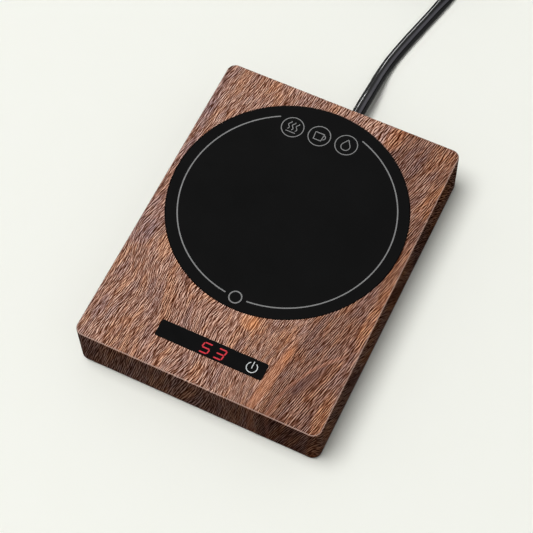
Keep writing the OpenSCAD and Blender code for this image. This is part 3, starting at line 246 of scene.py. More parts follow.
def finish(name, colour, second, dull, shiny, mottle_size, grain_size=0.0004, relief=0.25,
           depth=0.00004, stretch=(1, 1, 1), **sockets):
    """A material with the shared fine surface. stretch makes its grain run along an axis."""
    made, tree, shader = new_material(name)
    place = put(tree, "ShaderNodeMapping", {
        "Vector": put(tree, "ShaderNodeTexCoord").outputs["Object"], "Scale": stretch})
    surface = put(tree, "ShaderNodeGroup", {}, node_tree=fine_surface)
    tree.links.new(place.outputs[0], surface.inputs["Place"])
    for key, value in (("Colour", colour), ("Second Colour", second), ("Dull", dull),
                       ("Shiny", shiny), ("Mottle Size", mottle_size),
                       ("Grain Size", grain_size), ("Relief", relief), ("Depth", depth)):
        surface.inputs[key].default_value = value
    tree.links.new(surface.outputs["Colour"], shader.inputs["Base Color"])
    tree.links.new(surface.outputs["Roughness"], shader.inputs["Roughness"])
    tree.links.new(surface.outputs["Normal"], shader.inputs["Normal"])
    for key, value in sockets.items():
        shader.inputs[key.replace("_", " ")].default_value = value
    return made


def piece(name, shape, material, smooth):
    """Makes a bmesh a piece that rides on the housing. Edges up to the angle smooth are rounded."""
    mesh = bpy.data.meshes.new(name)
    shape.to_mesh(mesh)
    shape.free()
    mesh.materials.append(material)
    made = bpy.data.objects.new(name, mesh)
    bpy.context.scene.collection.objects.link(made)
    if smooth:
        mesh.shade_smooth()
        mesh.set_sharp_from_angle(angle=math.radians(smooth))
    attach(made, "housing")
    return made


lead_pvc = finish("lead pvc", srgb(24, 24, 26), srgb(17, 17, 19), dull=0.22, shiny=0.12,
                  mottle_size=0.006, grain_size=0.0003, relief=0.15, depth=0.00002,
                  Specular_IOR_Level=0.13)
# Painted sheen: the ribbed face is coloured greyer, standing in for the light it catches
ribbed_pvc = lead_pvc.copy()
ribbed_pvc.name = "ribbed lead pvc"
tree = ribbed_pvc.node_tree
pvc_shader = tree.nodes["Principled BSDF"]
smooth_colour = pvc_shader.inputs["Base Color"].links[0].from_socket
around = put(tree, "ShaderNodeSeparateXYZ", {
    0: put(tree, "ShaderNodeTexCoord").outputs["UV"]}).outputs[1]
from_edge = maths(tree, "SUBTRACT", 0.5, maths(tree, "ABSOLUTE", maths(
    tree, "SUBTRACT", around, 0.5)))
painted_sheen_on_ribs = maths(tree, "MULTIPLY", ranged(tree, from_edge, 0.12, 0.24),
                ranged(tree, from_edge, 0.33, 0.30))
tree.links.new(blend_colours(tree, painted_sheen_on_ribs, smooth_colour, srgb(70, 69, 75)),
               pvc_shader.inputs["Base Color"])
lead = piece("mains_lead", lead_shape, ribbed_pvc, smooth=50)
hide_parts("power_cord", "cord_coil", "plug_lead")


# ---------------------------------------------------------------------------
# Strain relief
# Soft PVC boot moulded onto the lead. A flange holds it behind the wall, and outside it tapers in
# steps so that the lead bends gently.
def slot_ring(shape, width, height, y):
    """A closed ring with round ends, standing across Y around the lead's exit."""
    ring = bmesh.ops.create_circle(shape, segments=24, radius=height / 2 * mm)["verts"]
    for vert in ring:
        side = 1 if vert.co.x > 1e-9 else -1 if vert.co.x < -1e-9 else 0
        flat_x = vert.co.x + side * (width - height) / 2 * mm
        vert.co = Vector((flat_x + exit_x * mm, y * mm, vert.co.y + exit_z * mm))
    return list({edge for vert in ring for edge in vert.link_edges})


def loft(stations, ring):
    """A closed skin through rings. stations are the values that ring is called with."""
    shape = bmesh.new()
    loops = [ring(shape, *station) for station in stations]
    for a, b in zip(loops, loops[1:]):
        bmesh.ops.bridge_loops(shape, edges=a + b)
    bmesh.ops.edgeloop_fill(shape, edges=loops[0])
    bmesh.ops.edgeloop_fill(shape, edges=loops[-1])
    bmesh.ops.recalc_face_normals(shape, faces=shape.faces)
    return shape


# Width, height and Y of each ring
wall_in, wall_out = 82.1, 84.5
boot_stations = [(10, 6.6, 73.9), (10, 6.6, 79.8), (16, 8.8, 79.9), (16, 8.8, wall_in - 0.05),
                 (11, 7.6, wall_in), (11, 7.6, wall_out + 0.4)]
for step in range(4):
    near, far = wall_out + 1.0 + 2.2 * step, wall_out + 2.3 + 2.2 * step
    wide, high = 11 - 3.0 * step / 4, 7.6 - 2.9 * step / 4
    boot_stations += [(wide - 1.2, high - 1.0, near - 0.35), (wide - 1.2, high - 1.0, near),
                      (wide - 0.3, high - 0.2, near + 0.2), (wide - 0.6, high - 0.5, far)]
boot_stations += [(7.9, 4.6, 94.2), (7.5, 4.2, 94.5)]
boot = piece("strain_relief_boot", loft(boot_stations, slot_ring), lead_pvc, smooth=40)
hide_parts("strain_relief")


# ---------------------------------------------------------------------------
# Plug
# Two-blade plug moulded onto the end of the lead, with a ribbed grip. It lies on its side next to
# the coil.
end_x, end_y, end_z, _ = plug_route[-1]
plug_place = (Matrix.Translation(Vector((exit_x + end_x, exit_y + end_y, end_z)) * mm)
              @ Matrix.Rotation(math.radians(-25), 4, "Z"))


def plug_ring(shape, width, height, along, power):
    """A closed ring across the plug. The higher the power, the squarer it is."""
    ring = bmesh.ops.create_circle(shape, segments=40, radius=1)["verts"]
    for vert in ring:
        angle = math.atan2(vert.co.y, vert.co.x)
        c, s = math.cos(angle), math.sin(angle)
        reach = (abs(c) ** power + abs(s) ** power) ** (-1 / power)
        local = Vector((reach * c * width / 2, -along, reach * s * height / 2)) * mm
        vert.co = plug_place @ local
    return list({edge for vert in ring for edge in vert.link_edges})


# Width, height, distance along the plug and power of each ring: ribbed neck, body, grip, front
plug_stations = [(7.6, 4.4, 0.0, 2.2), (8.0, 4.8, 0.4, 2.2)]
for step in range(4):
    along = 1.6 + 2.4 * step
    wide, high = 8.2 + 3.4 * step / 4, 5.0 + 2.6 * step / 4
    plug_stations += [(wide, high, along, 2.2), (wide, high, along + 0.5, 2.2),
                      (wide + 1.2, high + 1.0, along + 0.9, 2.2),
                      (wide + 1.4, high + 1.2, along + 1.7, 2.2)]
plug_stations += [(13.6, 9.4, 11.4, 2.6), (15.0, 10.6, 13.5, 2.8), (17.4, 12.0, 17.5, 3.0)]
for step in range(4):
    along = 19 + 2.2 * step
    wide = 18.2 + 0.7 * step
    plug_stations += [(wide, 12.4, along, 3.2), (wide - 0.9, 12.2, along + 0.35, 3.2),
                      (wide - 0.9, 12.2, along + 1.1, 3.2), (wide + 0.3, 12.6, along + 1.45, 3.2)]
plug_stations += [(22.4, 14.2, 30.5, 3.6), (23.9, 14.9, 33.6, 4.0), (23.9, 14.9, 36.8, 4.0),
                  (23.4, 14.5, 37.7, 4.0), (22.6, 13.7, 38.0, 4.0)]
plug = piece("plug_moulding", loft(plug_stations, plug_ring), lead_pvc, smooth=40)
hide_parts("plug_body")


def dress(material, *names):
    """Gives CAD nodes a material."""
    for name in names:
        nodes[name].data.materials.clear()
        nodes[name].data.materials.append(material)


blade_brass = finish("blade brass", srgb(214, 184, 120), srgb(190, 160, 100), dull=0.4, shiny=0.22,
                     mottle_size=0.004, grain_size=0.0002, relief=0.15, stretch=(1, 0.1, 1),
                     Metallic=1.0)
dress(blade_brass, "plug_blades")


# ---------------------------------------------------------------------------
# Coil ties
# Two black hook-and-loop straps, woven of nylon. Each is pulled tight around all turns of the coil
# and closed on itself.
strap_w, strap_t, strap_round = 5, 0.75, 1.6
coil_middle = Vector((coil_x + exit_x, coil_y + exit_y, (lower_z + upper_z) / 2)) * mm
middle_r = outer_r - turn_step


def tie_band(turn, corners):
    """A closed strap through rounded corners, in millimetres outwards and up."""
    shape = bmesh.new()
    outline = shape.faces.new([shape.verts.new(Vector((x, y, 0)) * mm) for x, y in corners])
    bmesh.ops.bevel(shape, geom=outline.verts[:], offset=strap_round * mm, offset_type="OFFSET",
                    segments=5, profile=0.5, affect="VERTICES", material=-1)
    bmesh.ops.delete(shape, geom=shape.faces[:], context="FACES_ONLY")
    moved = bmesh.ops.extrude_edge_only(shape, edges=shape.edges[:])["geom"]
    bmesh.ops.translate(shape, vec=(0, 0, strap_w * mm),
                        verts=[v for v in moved if isinstance(v, bmesh.types.BMVert)])
    bmesh.ops.recalc_face_normals(shape, faces=shape.faces)
    bmesh.ops.solidify(shape, geom=shape.faces[:], thickness=strap_t * mm)
    bmesh.ops.recalc_face_normals(shape, faces=shape.faces)
    angle = math.radians(turn)
    across = Vector((math.cos(angle), math.sin(angle), 0))
    along = Vector((-math.sin(angle), math.cos(angle), 0))
    place = Matrix((across, (0, 0, 1), along)).transposed().to_4x4()
    middle = coil_middle + across * middle_r * mm - along * strap_w / 2 * mm
    bmesh.ops.transform(shape, matrix=Matrix.Translation(middle) @ place, verts=shape.verts)
    return shape


strap = finish("strap", srgb(46, 46, 50), srgb(34, 34, 38), dull=0.95, shiny=0.8, mottle_size=0.003,
               grain_size=0.0004, relief=0.7, depth=0.0002, Sheen_Weight=0.3)
ties = bmesh.new()
for turn, top_out in ((45, 4.5), (225, 0.9)):
    band_mesh = bpy.data.meshes.new("band")
    band = tie_band(turn, ((-6.2, -7.7), (6.2, -7.7), (6.2, 0.9), (top_out, 7.7), (-4.5, 7.7),
                           (-6.2, 0.9)))
    band.to_mesh(band_mesh)
    band.free()
    ties.from_mesh(band_mesh)
    bpy.data.meshes.remove(band_mesh)
ties_piece = piece("coil_straps", ties, strap, smooth=40)
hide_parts("coil_ties")


# ---------------------------------------------------------------------------
# Housing
# One moulding with a walnut film that is wrapped over its edges and embossed with short fibres. The
# film gets painted shade below its edges, and its grain crosses the two long sides at a slant.
def noise(tree, x, y, size_x, size_y, layer, detail=0.0):
    """Noise over two coordinates in millimetres, with a size of its own along each."""
    vector = put(tree, "ShaderNodeCombineXYZ", {
        0: maths(tree, "DIVIDE", x, size_x), 1: maths(tree, "DIVIDE", y, size_y), 2: layer})
    return put(tree, "ShaderNodeTexNoise", {
        "Vector": vector.outputs[0], "Scale": 1.0, "Detail": detail}).outputs[0]


def centred(tree, value, size):
    """A value around 0.5 moved to around 0 and scaled."""
    return maths(tree, "MULTIPLY", maths(tree, "SUBTRACT", value, 0.5), size)


# The fibres: fine ridges with a painted lit flank and a painted shaded flank, over wavy lines and
# long strands; the same value also drives the bump. They sway, waver and jag from side to side,
# less so where the film is calm.
fibres, given, result = shader_group(
    "walnut fibres", [("Across", VALUE, 0.0), ("Along", VALUE, 0.0), ("Calm", VALUE, 0.0)],
    [("Fibre", VALUE), ("Tone", VALUE), ("Warmth", VALUE)])
across, along, calm = given["Across"], given["Along"], given["Calm"]
unrest = maths(fibres, "MULTIPLY_ADD", calm, -0.7, 1.0)
sway = maths(fibres, "MULTIPLY", maths(fibres, "MULTIPLY_ADD", calm, -0.5, 1.0),
             centred(fibres, noise(fibres, across, along, 17, 36, 3.1), 4.5))
waver = centred(fibres, noise(fibres, across, along, 5, 10, 7.7), 1.1)
across = maths(fibres, "ADD", across, maths(fibres, "MULTIPLY_ADD", waver, unrest, sway))
drift = maths(fibres, "MULTIPLY", unrest,
              centred(fibres, noise(fibres, across, along, 2.2, 7, 4.4), 8.0))
lines = maths(fibres, "SINE", maths(fibres, "MULTIPLY_ADD", across, 6.3, drift))
jag = centred(fibres, noise(fibres, across, along, 1.1, 2.1, 6.2), 0.45)
across = maths(fibres, "MULTIPLY_ADD", jag, unrest, across)
ridge_w, ridge_l, flank_w = 0.42, 3.4, 0.36
ridges = noise(fibres, across, along, ridge_w, ridge_l, 1.3)
beside = noise(fibres, maths(fibres, "ADD", across, flank_w), along, ridge_w, ridge_l, 1.3)
strands = noise(fibres, across, along, 1.1, 11, 5.9)
fibre = maths(fibres, "MULTIPLY_ADD", lines, maths(fibres, "MULTIPLY_ADD", calm, 0.18, 0.2),
              centred(fibres, ridges, 0.95))
fibre = maths(fibres, "ADD", fibre, centred(fibres, strands, 0.5))
fibre = maths(fibres, "MULTIPLY_ADD", maths(fibres, "SUBTRACT", ridges, beside), 1.3, fibre)
fibres.links.new(ranged(fibres, fibre, -0.49, 0.5, smooth=False), result.inputs["Fibre"])
fibres.links.new(noise(fibres, across, along, 6, 45, 9.4, 1.0), result.inputs["Tone"])
fibres.links.new(noise(fibres, across, along, 4.5, 16, 12.6, 1.0), result.inputs["Warmth"])

walnut, tree, walnut_shader = new_material("walnut film")
where = put(tree, "ShaderNodeTexCoord")
place = put(tree, "ShaderNodeSeparateXYZ", {0: where.outputs["Object"]}).outputs
facing = put(tree, "ShaderNodeSeparateXYZ", {0: where.outputs["Normal"]}).outputs
mm_x, mm_y, mm_z = (maths(tree, "MULTIPLY", place[i], 1000.0) for i in range(3))
# How far the film has come down the front or the back, as it carries on over the edge
top_z = 28.5
over_edge = maths(tree, "MULTIPLY", facing[1], maths(tree, "SUBTRACT", top_z, mm_z))
film_y = maths(tree, "MULTIPLY_ADD", over_edge, 0.5, mm_y)

# A darker heart along the right side, whose edge swings except at the front. Its fibres are
# straighter.
swing = centred(tree, noise(tree, mm_x, mm_y, 40, 22, 2.2, 1.0), 8.0)
swing = maths(tree, "MULTIPLY", swing, ranged(tree, mm_y, -55, -25))
off_narrowest = maths(tree, "ABSOLUTE", maths(tree, "ADD", mm_y, 39.0))
edge = maths(tree, "MULTIPLY_ADD", off_narrowest, 0.06, maths(tree, "ADD", mm_x, swing))
heart = maths(tree, "MULTIPLY", ranged(tree, edge, 33.8, 37.0),
              ranged(tree, edge, 68, 54, 0.5, 1.0))

# The fibres lean to the right, more so on the right, and bend back in the middle of the front
lean = ranged(tree, mm_x, 5, 45, 0.11, 0.24)
bend = maths(tree, "SINE", maths(tree, "MULTIPLY_ADD", film_y, 0.045, 2.8))
from_bend = maths(tree, "ABSOLUTE", maths(tree, "ADD", maths(tree, "ADD", mm_x, mm_y), 73.0))
bend = maths(tree, "MULTIPLY", bend, ranged(tree, from_bend, 28, 6, 0.0, 4.4))
top_across = maths(tree, "ADD", bend, maths(tree, "SUBTRACT", mm_x, maths(
    tree, "MULTIPLY", film_y, lean)))
top_across = maths(tree, "MULTIPLY_ADD", over_edge, -0.22, top_across)
on_front = ranged(tree, maths(tree, "ABSOLUTE", facing[1]), 0.4, 0.8, 0.0, 0.6)
top_film = put(tree, "ShaderNodeGroup", {
    "Across": top_across, "Along": film_y, "Calm": maths(tree, "MAXIMUM", heart, on_front)},
    node_tree=fibres).outputs
# On the long sides the fibres run at a slant
slant = maths(tree, "MULTIPLY", maths(tree, "SIGN", facing[0]), mm_z)
side_across = maths(tree, "ADD", maths(tree, "MULTIPLY", mm_y, 0.61),
                    maths(tree, "MULTIPLY", slant, 0.46))
side_along = maths(tree, "SUBTRACT", maths(tree, "MULTIPLY", mm_y, 0.29),
                   maths(tree, "MULTIPLY", slant, 0.4))
side_film = put(tree, "ShaderNodeGroup", {
    "Across": side_across, "Along": side_along, "Calm": 0.6}, node_tree=fibres).outputs
on_side = ranged(tree, maths(tree, "ABSOLUTE", facing[0]), 0.55, 0.85)


def either(name):
    made = put(tree, "ShaderNodeMix", {0: on_side, 2: top_film[name], 3: side_film[name]})
    return made.outputs[0]


tone, warmth = either("Tone"), either("Warmth")
contrast = maths(tree, "MULTIPLY_ADD", on_side, 0.8, 1.0)
fibre = maths(tree, "MULTIPLY_ADD", centred(tree, either("Fibre"), 1.0), contrast, 0.5)


def zone(x, y, half_x, half_y, lean=0.0):
    """An oval on the top, 1 in its middle, with soft and fibrous edges."""
    away_y = maths(tree, "SUBTRACT", mm_y, y)
    away_x = maths(tree, "SUBTRACT", maths(tree, "SUBTRACT", mm_x, x),
                   maths(tree, "MULTIPLY", away_y, lean))
    squares = [maths(tree, "POWER", maths(tree, "DIVIDE", away, half), 2.0)
               for away, half in ((away_x, half_x), (away_y, half_y))]
    reach = maths(tree, "SQRT", maths(tree, "ADD", *squares))
    return ranged(tree, maths(tree, "ADD", reach, centred(tree, tone, 0.7)), 1.3, 0.7)


# A long orange streak along the heart and a tan patch before the glass, where the fibres are faint
streak, tan_patch = zone(31.2, -67, 2.7, 24, 0.137), zone(9.3, -44.5, 4.6, 4.0)
# In the heart a pale curved growth line with a grey patch on its right
from_front = maths(tree, "ADD", mm_y, 83.4)
past_line = maths(tree, "SUBTRACT", maths(tree, "SUBTRACT", mm_x, 37.6),
                  maths(tree, "MULTIPLY", maths(tree, "MULTIPLY", from_front, from_front), 0.0114))
past_line = maths(tree, "ADD", past_line, centred(tree, fibre, 0.6))
near_line = maths(tree, "MULTIPLY", ranged(tree, mm_y, -36, -46),
                  ranged(tree, maths(tree, "ABSOLUTE", past_line), 1.4, 0.6))
grey_patch = maths(tree, "MULTIPLY", zone(48, -57, 12, 12), maths(
    tree, "MULTIPLY", ranged(tree, past_line, 0.4, 1.8), ranged(tree, past_line, 11, 4)))
faint = grey_patch
for area in (near_line, streak, tan_patch):
    faint = maths(tree, "MAXIMUM", faint, area)
fibre = maths(tree, "MULTIPLY_ADD", maths(tree, "SUBTRACT", 0.54, fibre),
              maths(tree, "MULTIPLY", faint, 0.4), fibre)

# The film's colours, from dark grain and the fibres' painted shaded flanks to light grain and their
# painted lit flanks
film_ramp = put(tree, "ShaderNodeValToRGB", {0: fibre})
stops = ((0.0, (64, 27, 8)), (0.3, (113, 72, 53)), (0.52, (151, 109, 92)),
         (0.75, (185, 140, 121)), (1.0, (231, 188, 166)))
for element, (position, colour) in zip(film_ramp.color_ramp.elements, (stops[0], stops[-1])):
    element.position, element.color = position, srgb(*colour)
for position, colour in stops[1:-1]:
    film_ramp.color_ramp.elements.new(position).color = srgb(*colour)
film = film_ramp.outputs[0]

# Tints over the film: warmer and cooler strands, darker ones, then the heart and single areas
warm, cool, shade = (1.1, 0.96, 0.76, 1), (0.8, 0.83, 0.96, 1), (0.66, 0.6, 0.57, 1)
orange, rust, grey = (1.25, 1.07, 0.8, 1), (0.97, 0.86, 0.73, 1), (0.8, 0.84, 0.95, 1)
bright, pale_orange, tan = (1.5, 1.5, 1.5, 1), (1.3, 1.14, 0.93, 1), (1.6, 1.53, 1.25, 1)
dark_strands = maths(tree, "MULTIPLY", ranged(tree, tone, 0.47, 0.36, 0.0, 0.35),
                     maths(tree, "MULTIPLY_ADD", on_side, 1.8, 1.0))
for amount, tint, area in (
        (1.0, warm, ranged(tree, warmth, 0.52, 0.66, 0.0, 0.75)),
        (1.0, cool, ranged(tree, warmth, 0.46, 0.34, 0.0, 0.7)),
        (1.0, shade, dark_strands),
        (1.0, shade, heart),
        (1.0, bright, near_line),
        (1.0, grey, grey_patch),
        (1.0, pale_orange, streak),
        (1.0, tan, tan_patch),
        (1.0, pale_orange, zone(30.5, 79, 4.5, 8, 0.1)),
        (1.0, orange, zone(61.5, -24, 3, 14)),
        (0.8, orange, zone(61, -76, 3, 14)),
        (1.0, rust, zone(61, 62, 4, 20, -0.05)),
        (1.0, rust, zone(62, 8, 4, 17)),
        (1.0, rust, zone(54, 75, 4, 10)),
        (0.5, rust, zone(55, -31, 5, 12)),
        (0.4, rust, zone(18, -47, 14, 7)),
        (0.9, rust, zone(29, -41.5, 4.5, 5)),
        (0.5, rust, zone(-43, 77, 8, 8)),
        (0.7, shade, zone(62, 35, 4, 11)),
        (0.4, shade, zone(-61.5, -51, 4.5, 7)),
        (0.4, cool, zone(41, -44, 5, 9, 0.2)),
        (0.7, cool, zone(44, 71, 5, 10, 0.2)),
        (1.0, cool, zone(-62.5, 36, 4.5, 44)),
        (1.0, cool, zone(-60, -21, 6, 9)),
        (1.0, cool, zone(-61, -66, 5.5, 8))):
    film = blend_colours(tree, maths(tree, "MULTIPLY", area, amount), film, tint, "MULTIPLY")

# Painted shade darkens the sides, and a painted highlight makes the pale line along the top's edge
painted_side_shade = (0.45, 0.445, 0.465, 1)
film = blend_colours(tree, ranged(tree, facing[2], 0.6, 0.35), film, painted_side_shade, "MULTIPLY")
# Painted highlight: a pale line on the bevel along the top's edge
rim = maths(tree, "MULTIPLY", ranged(tree, facing[2], 0.97, 0.9), ranged(tree, mm_z, 28.1, 28.2))
film = blend_colours(tree, maths(tree, "MULTIPLY", rim, 0.75), film, srgb(196, 168, 156))
tree.links.new(film, walnut_shader.inputs["Base Color"])
tree.links.new(ranged(tree, fibre, 0.0, 1.0, 0.66, 0.5), walnut_shader.inputs["Roughness"])
tree.links.new(put(tree, "ShaderNodeBump", {
    "Height": fibre, "Strength": 0.8, "Distance": 0.0002}).outputs[0],
    walnut_shader.inputs["Normal"])
tree.links.new(maths(tree, "MULTIPLY", ranged(tree, facing[2], 0.6, 0.9),
                     ranged(tree, fibre, 0.3, 1.0, 0.0, 0.1)), walnut_shader.inputs["Coat Weight"])
walnut_shader.inputs["Coat Roughness"].default_value = 0.38
walnut_shader.inputs["Specular IOR Level"].default_value = 0.0
dress(walnut, "upper_housing")


# ---------------------------------------------------------------------------
# Glass plate
# Tempered glass, printed black from below and glued flush into the housing's top. On it are a thin
# grey ring, a small one at its front, and three small marks at the back.
glass = finish("black glass", srgb(10, 10, 11), srgb(13, 13, 14), dull=0.1, shiny=0.06,
               mottle_size=0.03, grain_size=0.002, relief=0.02, depth=0.00001,
               Specular_IOR_Level=0.05)
dress(glass, "glass_disc")

print_grey = finish("grey print", srgb(118, 118, 118), srgb(106, 106, 106), dull=0.6, shiny=0.5,
                    mottle_size=0.002, grain_size=0.0002, relief=0.1, Specular_IOR_Level=0.2)
glass_x, glass_y = -0.7, 18.5
print_t = 0.03
ring_r, ring_line = 54, 0.62
small_ring_r = 3.1
mark_r, mark_line, sign_line = 5.7, 0.44, 0.42


def arc(radius, start, end, steps, at=(0, 0)):
    """Points on an arc between two angles in degrees."""
    return [(at[0] + radius * math.cos(math.radians(start + (end - start) * i / steps)),
             at[1] + radius * math.sin(math.radians(start + (end - start) * i / steps)))
            for i in range(steps + 1)]


def print_line(shape, points, width, at, closed=False):
    """A flat printed line through points, in millimetres, bent from a straight strip."""
    count = len(points)
    spans = count if closed else count - 1
    strip = bmesh.ops.create_grid(shape, x_segments=spans, y_segments=1, size=1)["verts"]
    for vert in strip:
        i = round((vert.co.x + 1) / 2 * spans)
        before = points[(i - 1) % count] if closed or i > 0 else points[i]
        after = points[(i + 1) % count] if closed or i < spans else points[i]
        x, y = points[i % count]
        way = Vector((after[0] - before[0], after[1] - before[1])).normalized()
        arriving = Vector((x - before[0], y - before[1]))
        turn = abs(way.dot(arriving.normalized())) if arriving.length else 1
        reach = math.copysign(width / 2 / max(0.5, turn), vert.co.y)
        vert.co = Vector((at[0] + x - way.y * reach, at[1] + y + way.x * reach, top_z)) * mm
    if closed:
        bmesh.ops.remove_doubles(shape, verts=strip, dist=1e-7)


def thicken(shape):
    """Turns flat print into a layer of ink."""
    moved = bmesh.ops.extrude_face_region(shape, geom=shape.faces[:])["geom"]
    bmesh.ops.translate(shape, vec=(0, 0, print_t * mm),
                        verts=[v for v in moved if isinstance(v, bmesh.types.BMVert)])
    bmesh.ops.recalc_face_normals(shape, faces=shape.faces)
    return shape


marks = bmesh.new()
centre = (glass_x, glass_y)
for start, end in ((118.9, 262.3), (-85.7, 71.4)):
    print_line(marks, arc(ring_r, start, end, 100), ring_line, centre)
print_line(marks, arc(small_ring_r, 0, 350, 35, (-1.7, -ring_r)), ring_line, centre, closed=True)

# Steam, a cup and a drop, each in a ring
steam = [[(2.1 * k + 0.55 * math.sin(j * 0.7), -1.7 + 0.4 * j) for j in range(13)]
         for k in (-1, 0, 1)] + [[(-2.6, -2.9), (2.6, -2.9)]]
cup = [[(-2.7, 1.8), (-2.3, -2.4), (1.7, -2.4), (2.1, 1.8), (-2.7, 1.8)],
       arc(1.3, 80, -80, 10, (2.0, -0.1))]
drop_shape = [[(0, 3.3)] + arc(2.3, 155, 385, 22, (0, -0.9)) + [(0, 3.3)]]
row_x, row_y, row_pitch, row_turn = glass_x - 3.6, glass_y + 44.8, 14.4, math.radians(3.7)
for i, sign in ((-1, steam), (0, cup), (1, drop_shape)):
    spot = (row_x + row_pitch * i * math.cos(row_turn), row_y + row_pitch * i * math.sin(row_turn))
    print_line(marks, arc(mark_r, 0, 352.5, 47), mark_line, spot, closed=True)
    for line in sign:
        print_line(marks, line, sign_line, spot)
piece("glass_print", thicken(marks), print_grey, smooth=0)


# ---------------------------------------------------------------------------
# Display
# Smoked acrylic lens glued flush into the top, with a printed touch key. The two seven-bar digits
# are the light wells of the shade under it. They are a thin lit layer here, so that they show.
lens = finish("display lens", srgb(9, 9, 10), srgb(12, 12, 13), dull=0.14, shiny=0.09,
              mottle_size=0.01, grain_size=0.001, relief=0.02, depth=0.00001,
              Specular_IOR_Level=0.04)
dress(lens, "display_lens")

glow, tree, glow_shader = new_material("lit digits")
where = put(tree, "ShaderNodeTexCoord").outputs["Object"]
flicker = put(tree, "ShaderNodeTexNoise", {"Vector": where, "Scale": 900.0, "Detail": 1.0})
lit = blend_colours(tree, flicker.outputs[0], srgb(188, 14, 34), srgb(210, 30, 52))
tree.links.new(lit, glow_shader.inputs["Emission Color"])
glow_shader.inputs["Emission Strength"].default_value = 1.0
glow_shader.inputs["Base Color"].default_value = srgb(60, 4, 8)
glow_shader.inputs["Roughness"].default_value = 0.5
glow_shader.inputs["Specular IOR Level"].default_value = 0.1

digits_x, digits_y, digit_pitch = 0.7, -65.4, 7.5
digit_w, digit_h, bar_w, slope = 4.8, 5.9, 0.66, math.tan(math.radians(10))
bar_gap = 0.25
# Column and row of each bar, and whether it is level
bars = {"a": (0, 2, True), "b": (1, 1, False), "c": (1, -1, False), "d": (0, -2, True),
        "e": (-1, -1, False), "f": (-1, 1, False), "g": (0, 0, True)}
shown = {"5": "acdfg", "3": "abcdg"}


def lit_bar(shape, x, y, length, level_bar):
    """One bar with pointed ends, leaning with its digit."""
    half, point = length / 2, bar_w / 2
    outline = [(-half, 0), (point - half, point), (half - point, point), (half, 0),
               (half - point, -point), (point - half, -point)]
    if not level_bar:
        outline = [(-v, u) for u, v in outline]
    corners = [Vector((x + u + (y - digits_y + v) * slope, y + v, top_z)) * mm
               for u, v in outline]
    shape.faces.new([shape.verts.new(corner) for corner in corners])


digits = bmesh.new()
for digit, side in (("5", -1), ("3", 1)):
    for name in shown[digit]:
        column, row, level_bar = bars[name]
        rise, run = (digit_h - bar_w) / 2, digit_w - bar_w
        lit_bar(digits, digits_x + side * digit_pitch / 2 + column * run / 2,
                digits_y + row * rise / 2, (run if level_bar else rise) - bar_gap, level_bar)
piece("digits", thicken(digits), glow, smooth=0)

key_print = finish("key print", srgb(196, 200, 200), srgb(182, 188, 188), dull=0.6, shiny=0.5,
                   mottle_size=0.002, grain_size=0.0002, relief=0.1)
key = bmesh.new()
key_at, key_r, key_line = (20.9, -65.1), 2.65, 0.4
print_line(key, arc(key_r, 122, 418, 40), key_line, key_at)
print_line(key, [(0, 3.2), (0, -0.5)], key_line, key_at)
piece("key_mark", thicken(key), key_print, smooth=0)


# ---------------------------------------------------------------------------
# Base
# Black moulded ABS cover with vents, held up into the housing by six screws from below, with four
# glued rubber feet. All screws are zinc-plated steel. The buzzer's case is the same black plastic.
base_plastic = finish("base plastic", srgb(38, 38, 40), srgb(32, 32, 34), dull=0.68, shiny=0.52,
                      mottle_size=0.02, grain_size=0.0005, relief=0.5, depth=0.00008)
dress(base_plastic, "bottom_cover", "buzzer")
foot_rubber = finish("foot rubber", srgb(44, 44, 47), srgb(36, 36, 39), dull=0.9, shiny=0.75,
                     mottle_size=0.004, grain_size=0.0003, relief=0.5, depth=0.00006)
dress(foot_rubber, "rubber_feet")
zinc = finish("zinc plate", srgb(190, 193, 198), srgb(168, 170, 172), dull=0.42, shiny=0.25,
              mottle_size=0.003, grain_size=0.0002, relief=0.2, Metallic=1.0)
dress(zinc, "cover_screws", "plate_screws", "bracket_screws", "control_screws", "board_screws",
      "clamp_screws")


# ---------------------------------------------------------------------------
# Heater
# A stack under the glass: silicone gasket, aluminium spreader, etched foil between two mica sheets,
# ceramic felt pad. A sheet-steel plate with four screws presses it up against the glass.
dress(finish("silicone", srgb(206, 200, 188), srgb(190, 184, 172), dull=0.8, shiny=0.65,
             mottle_size=0.004), "glass_gasket")
sheet_aluminium = finish("sheet aluminium", srgb(204, 206, 209), srgb(186, 188, 190), dull=0.45,
                         shiny=0.3, mottle_size=0.02, grain_size=0.0003, stretch=(0.05, 1, 1),
                         Metallic=1.0)
dress(sheet_aluminium, "heat_spreader", "cutout_cap", "temperature_sensor", "heat_sink")
dress(finish("mica", srgb(196, 178, 136), srgb(168, 148, 108), dull=0.55, shiny=0.3,
             mottle_size=0.008, grain_size=0.001, relief=0.4, depth=0.0001), "upper_mica",
      "lower_mica")
dress(finish("etched foil", srgb(168, 168, 170), srgb(146, 146, 150), dull=0.5, shiny=0.35,
             mottle_size=0.006, Metallic=1.0), "heater_foil")
dress(finish("ceramic felt", srgb(232, 226, 212), srgb(214, 206, 190), dull=0.98, shiny=0.9,
             mottle_size=0.006, grain_size=0.0006, relief=0.9, depth=0.0003), "insulation_pad")
sheet_steel = finish("sheet steel", srgb(176, 180, 184), srgb(158, 161, 165), dull=0.5, shiny=0.32,
                     mottle_size=0.015, grain_size=0.0004, stretch=(0.1, 1, 1), Metallic=1.0)
dress(sheet_steel, "pressure_plate", "cutout_flange", "fuse_clip")


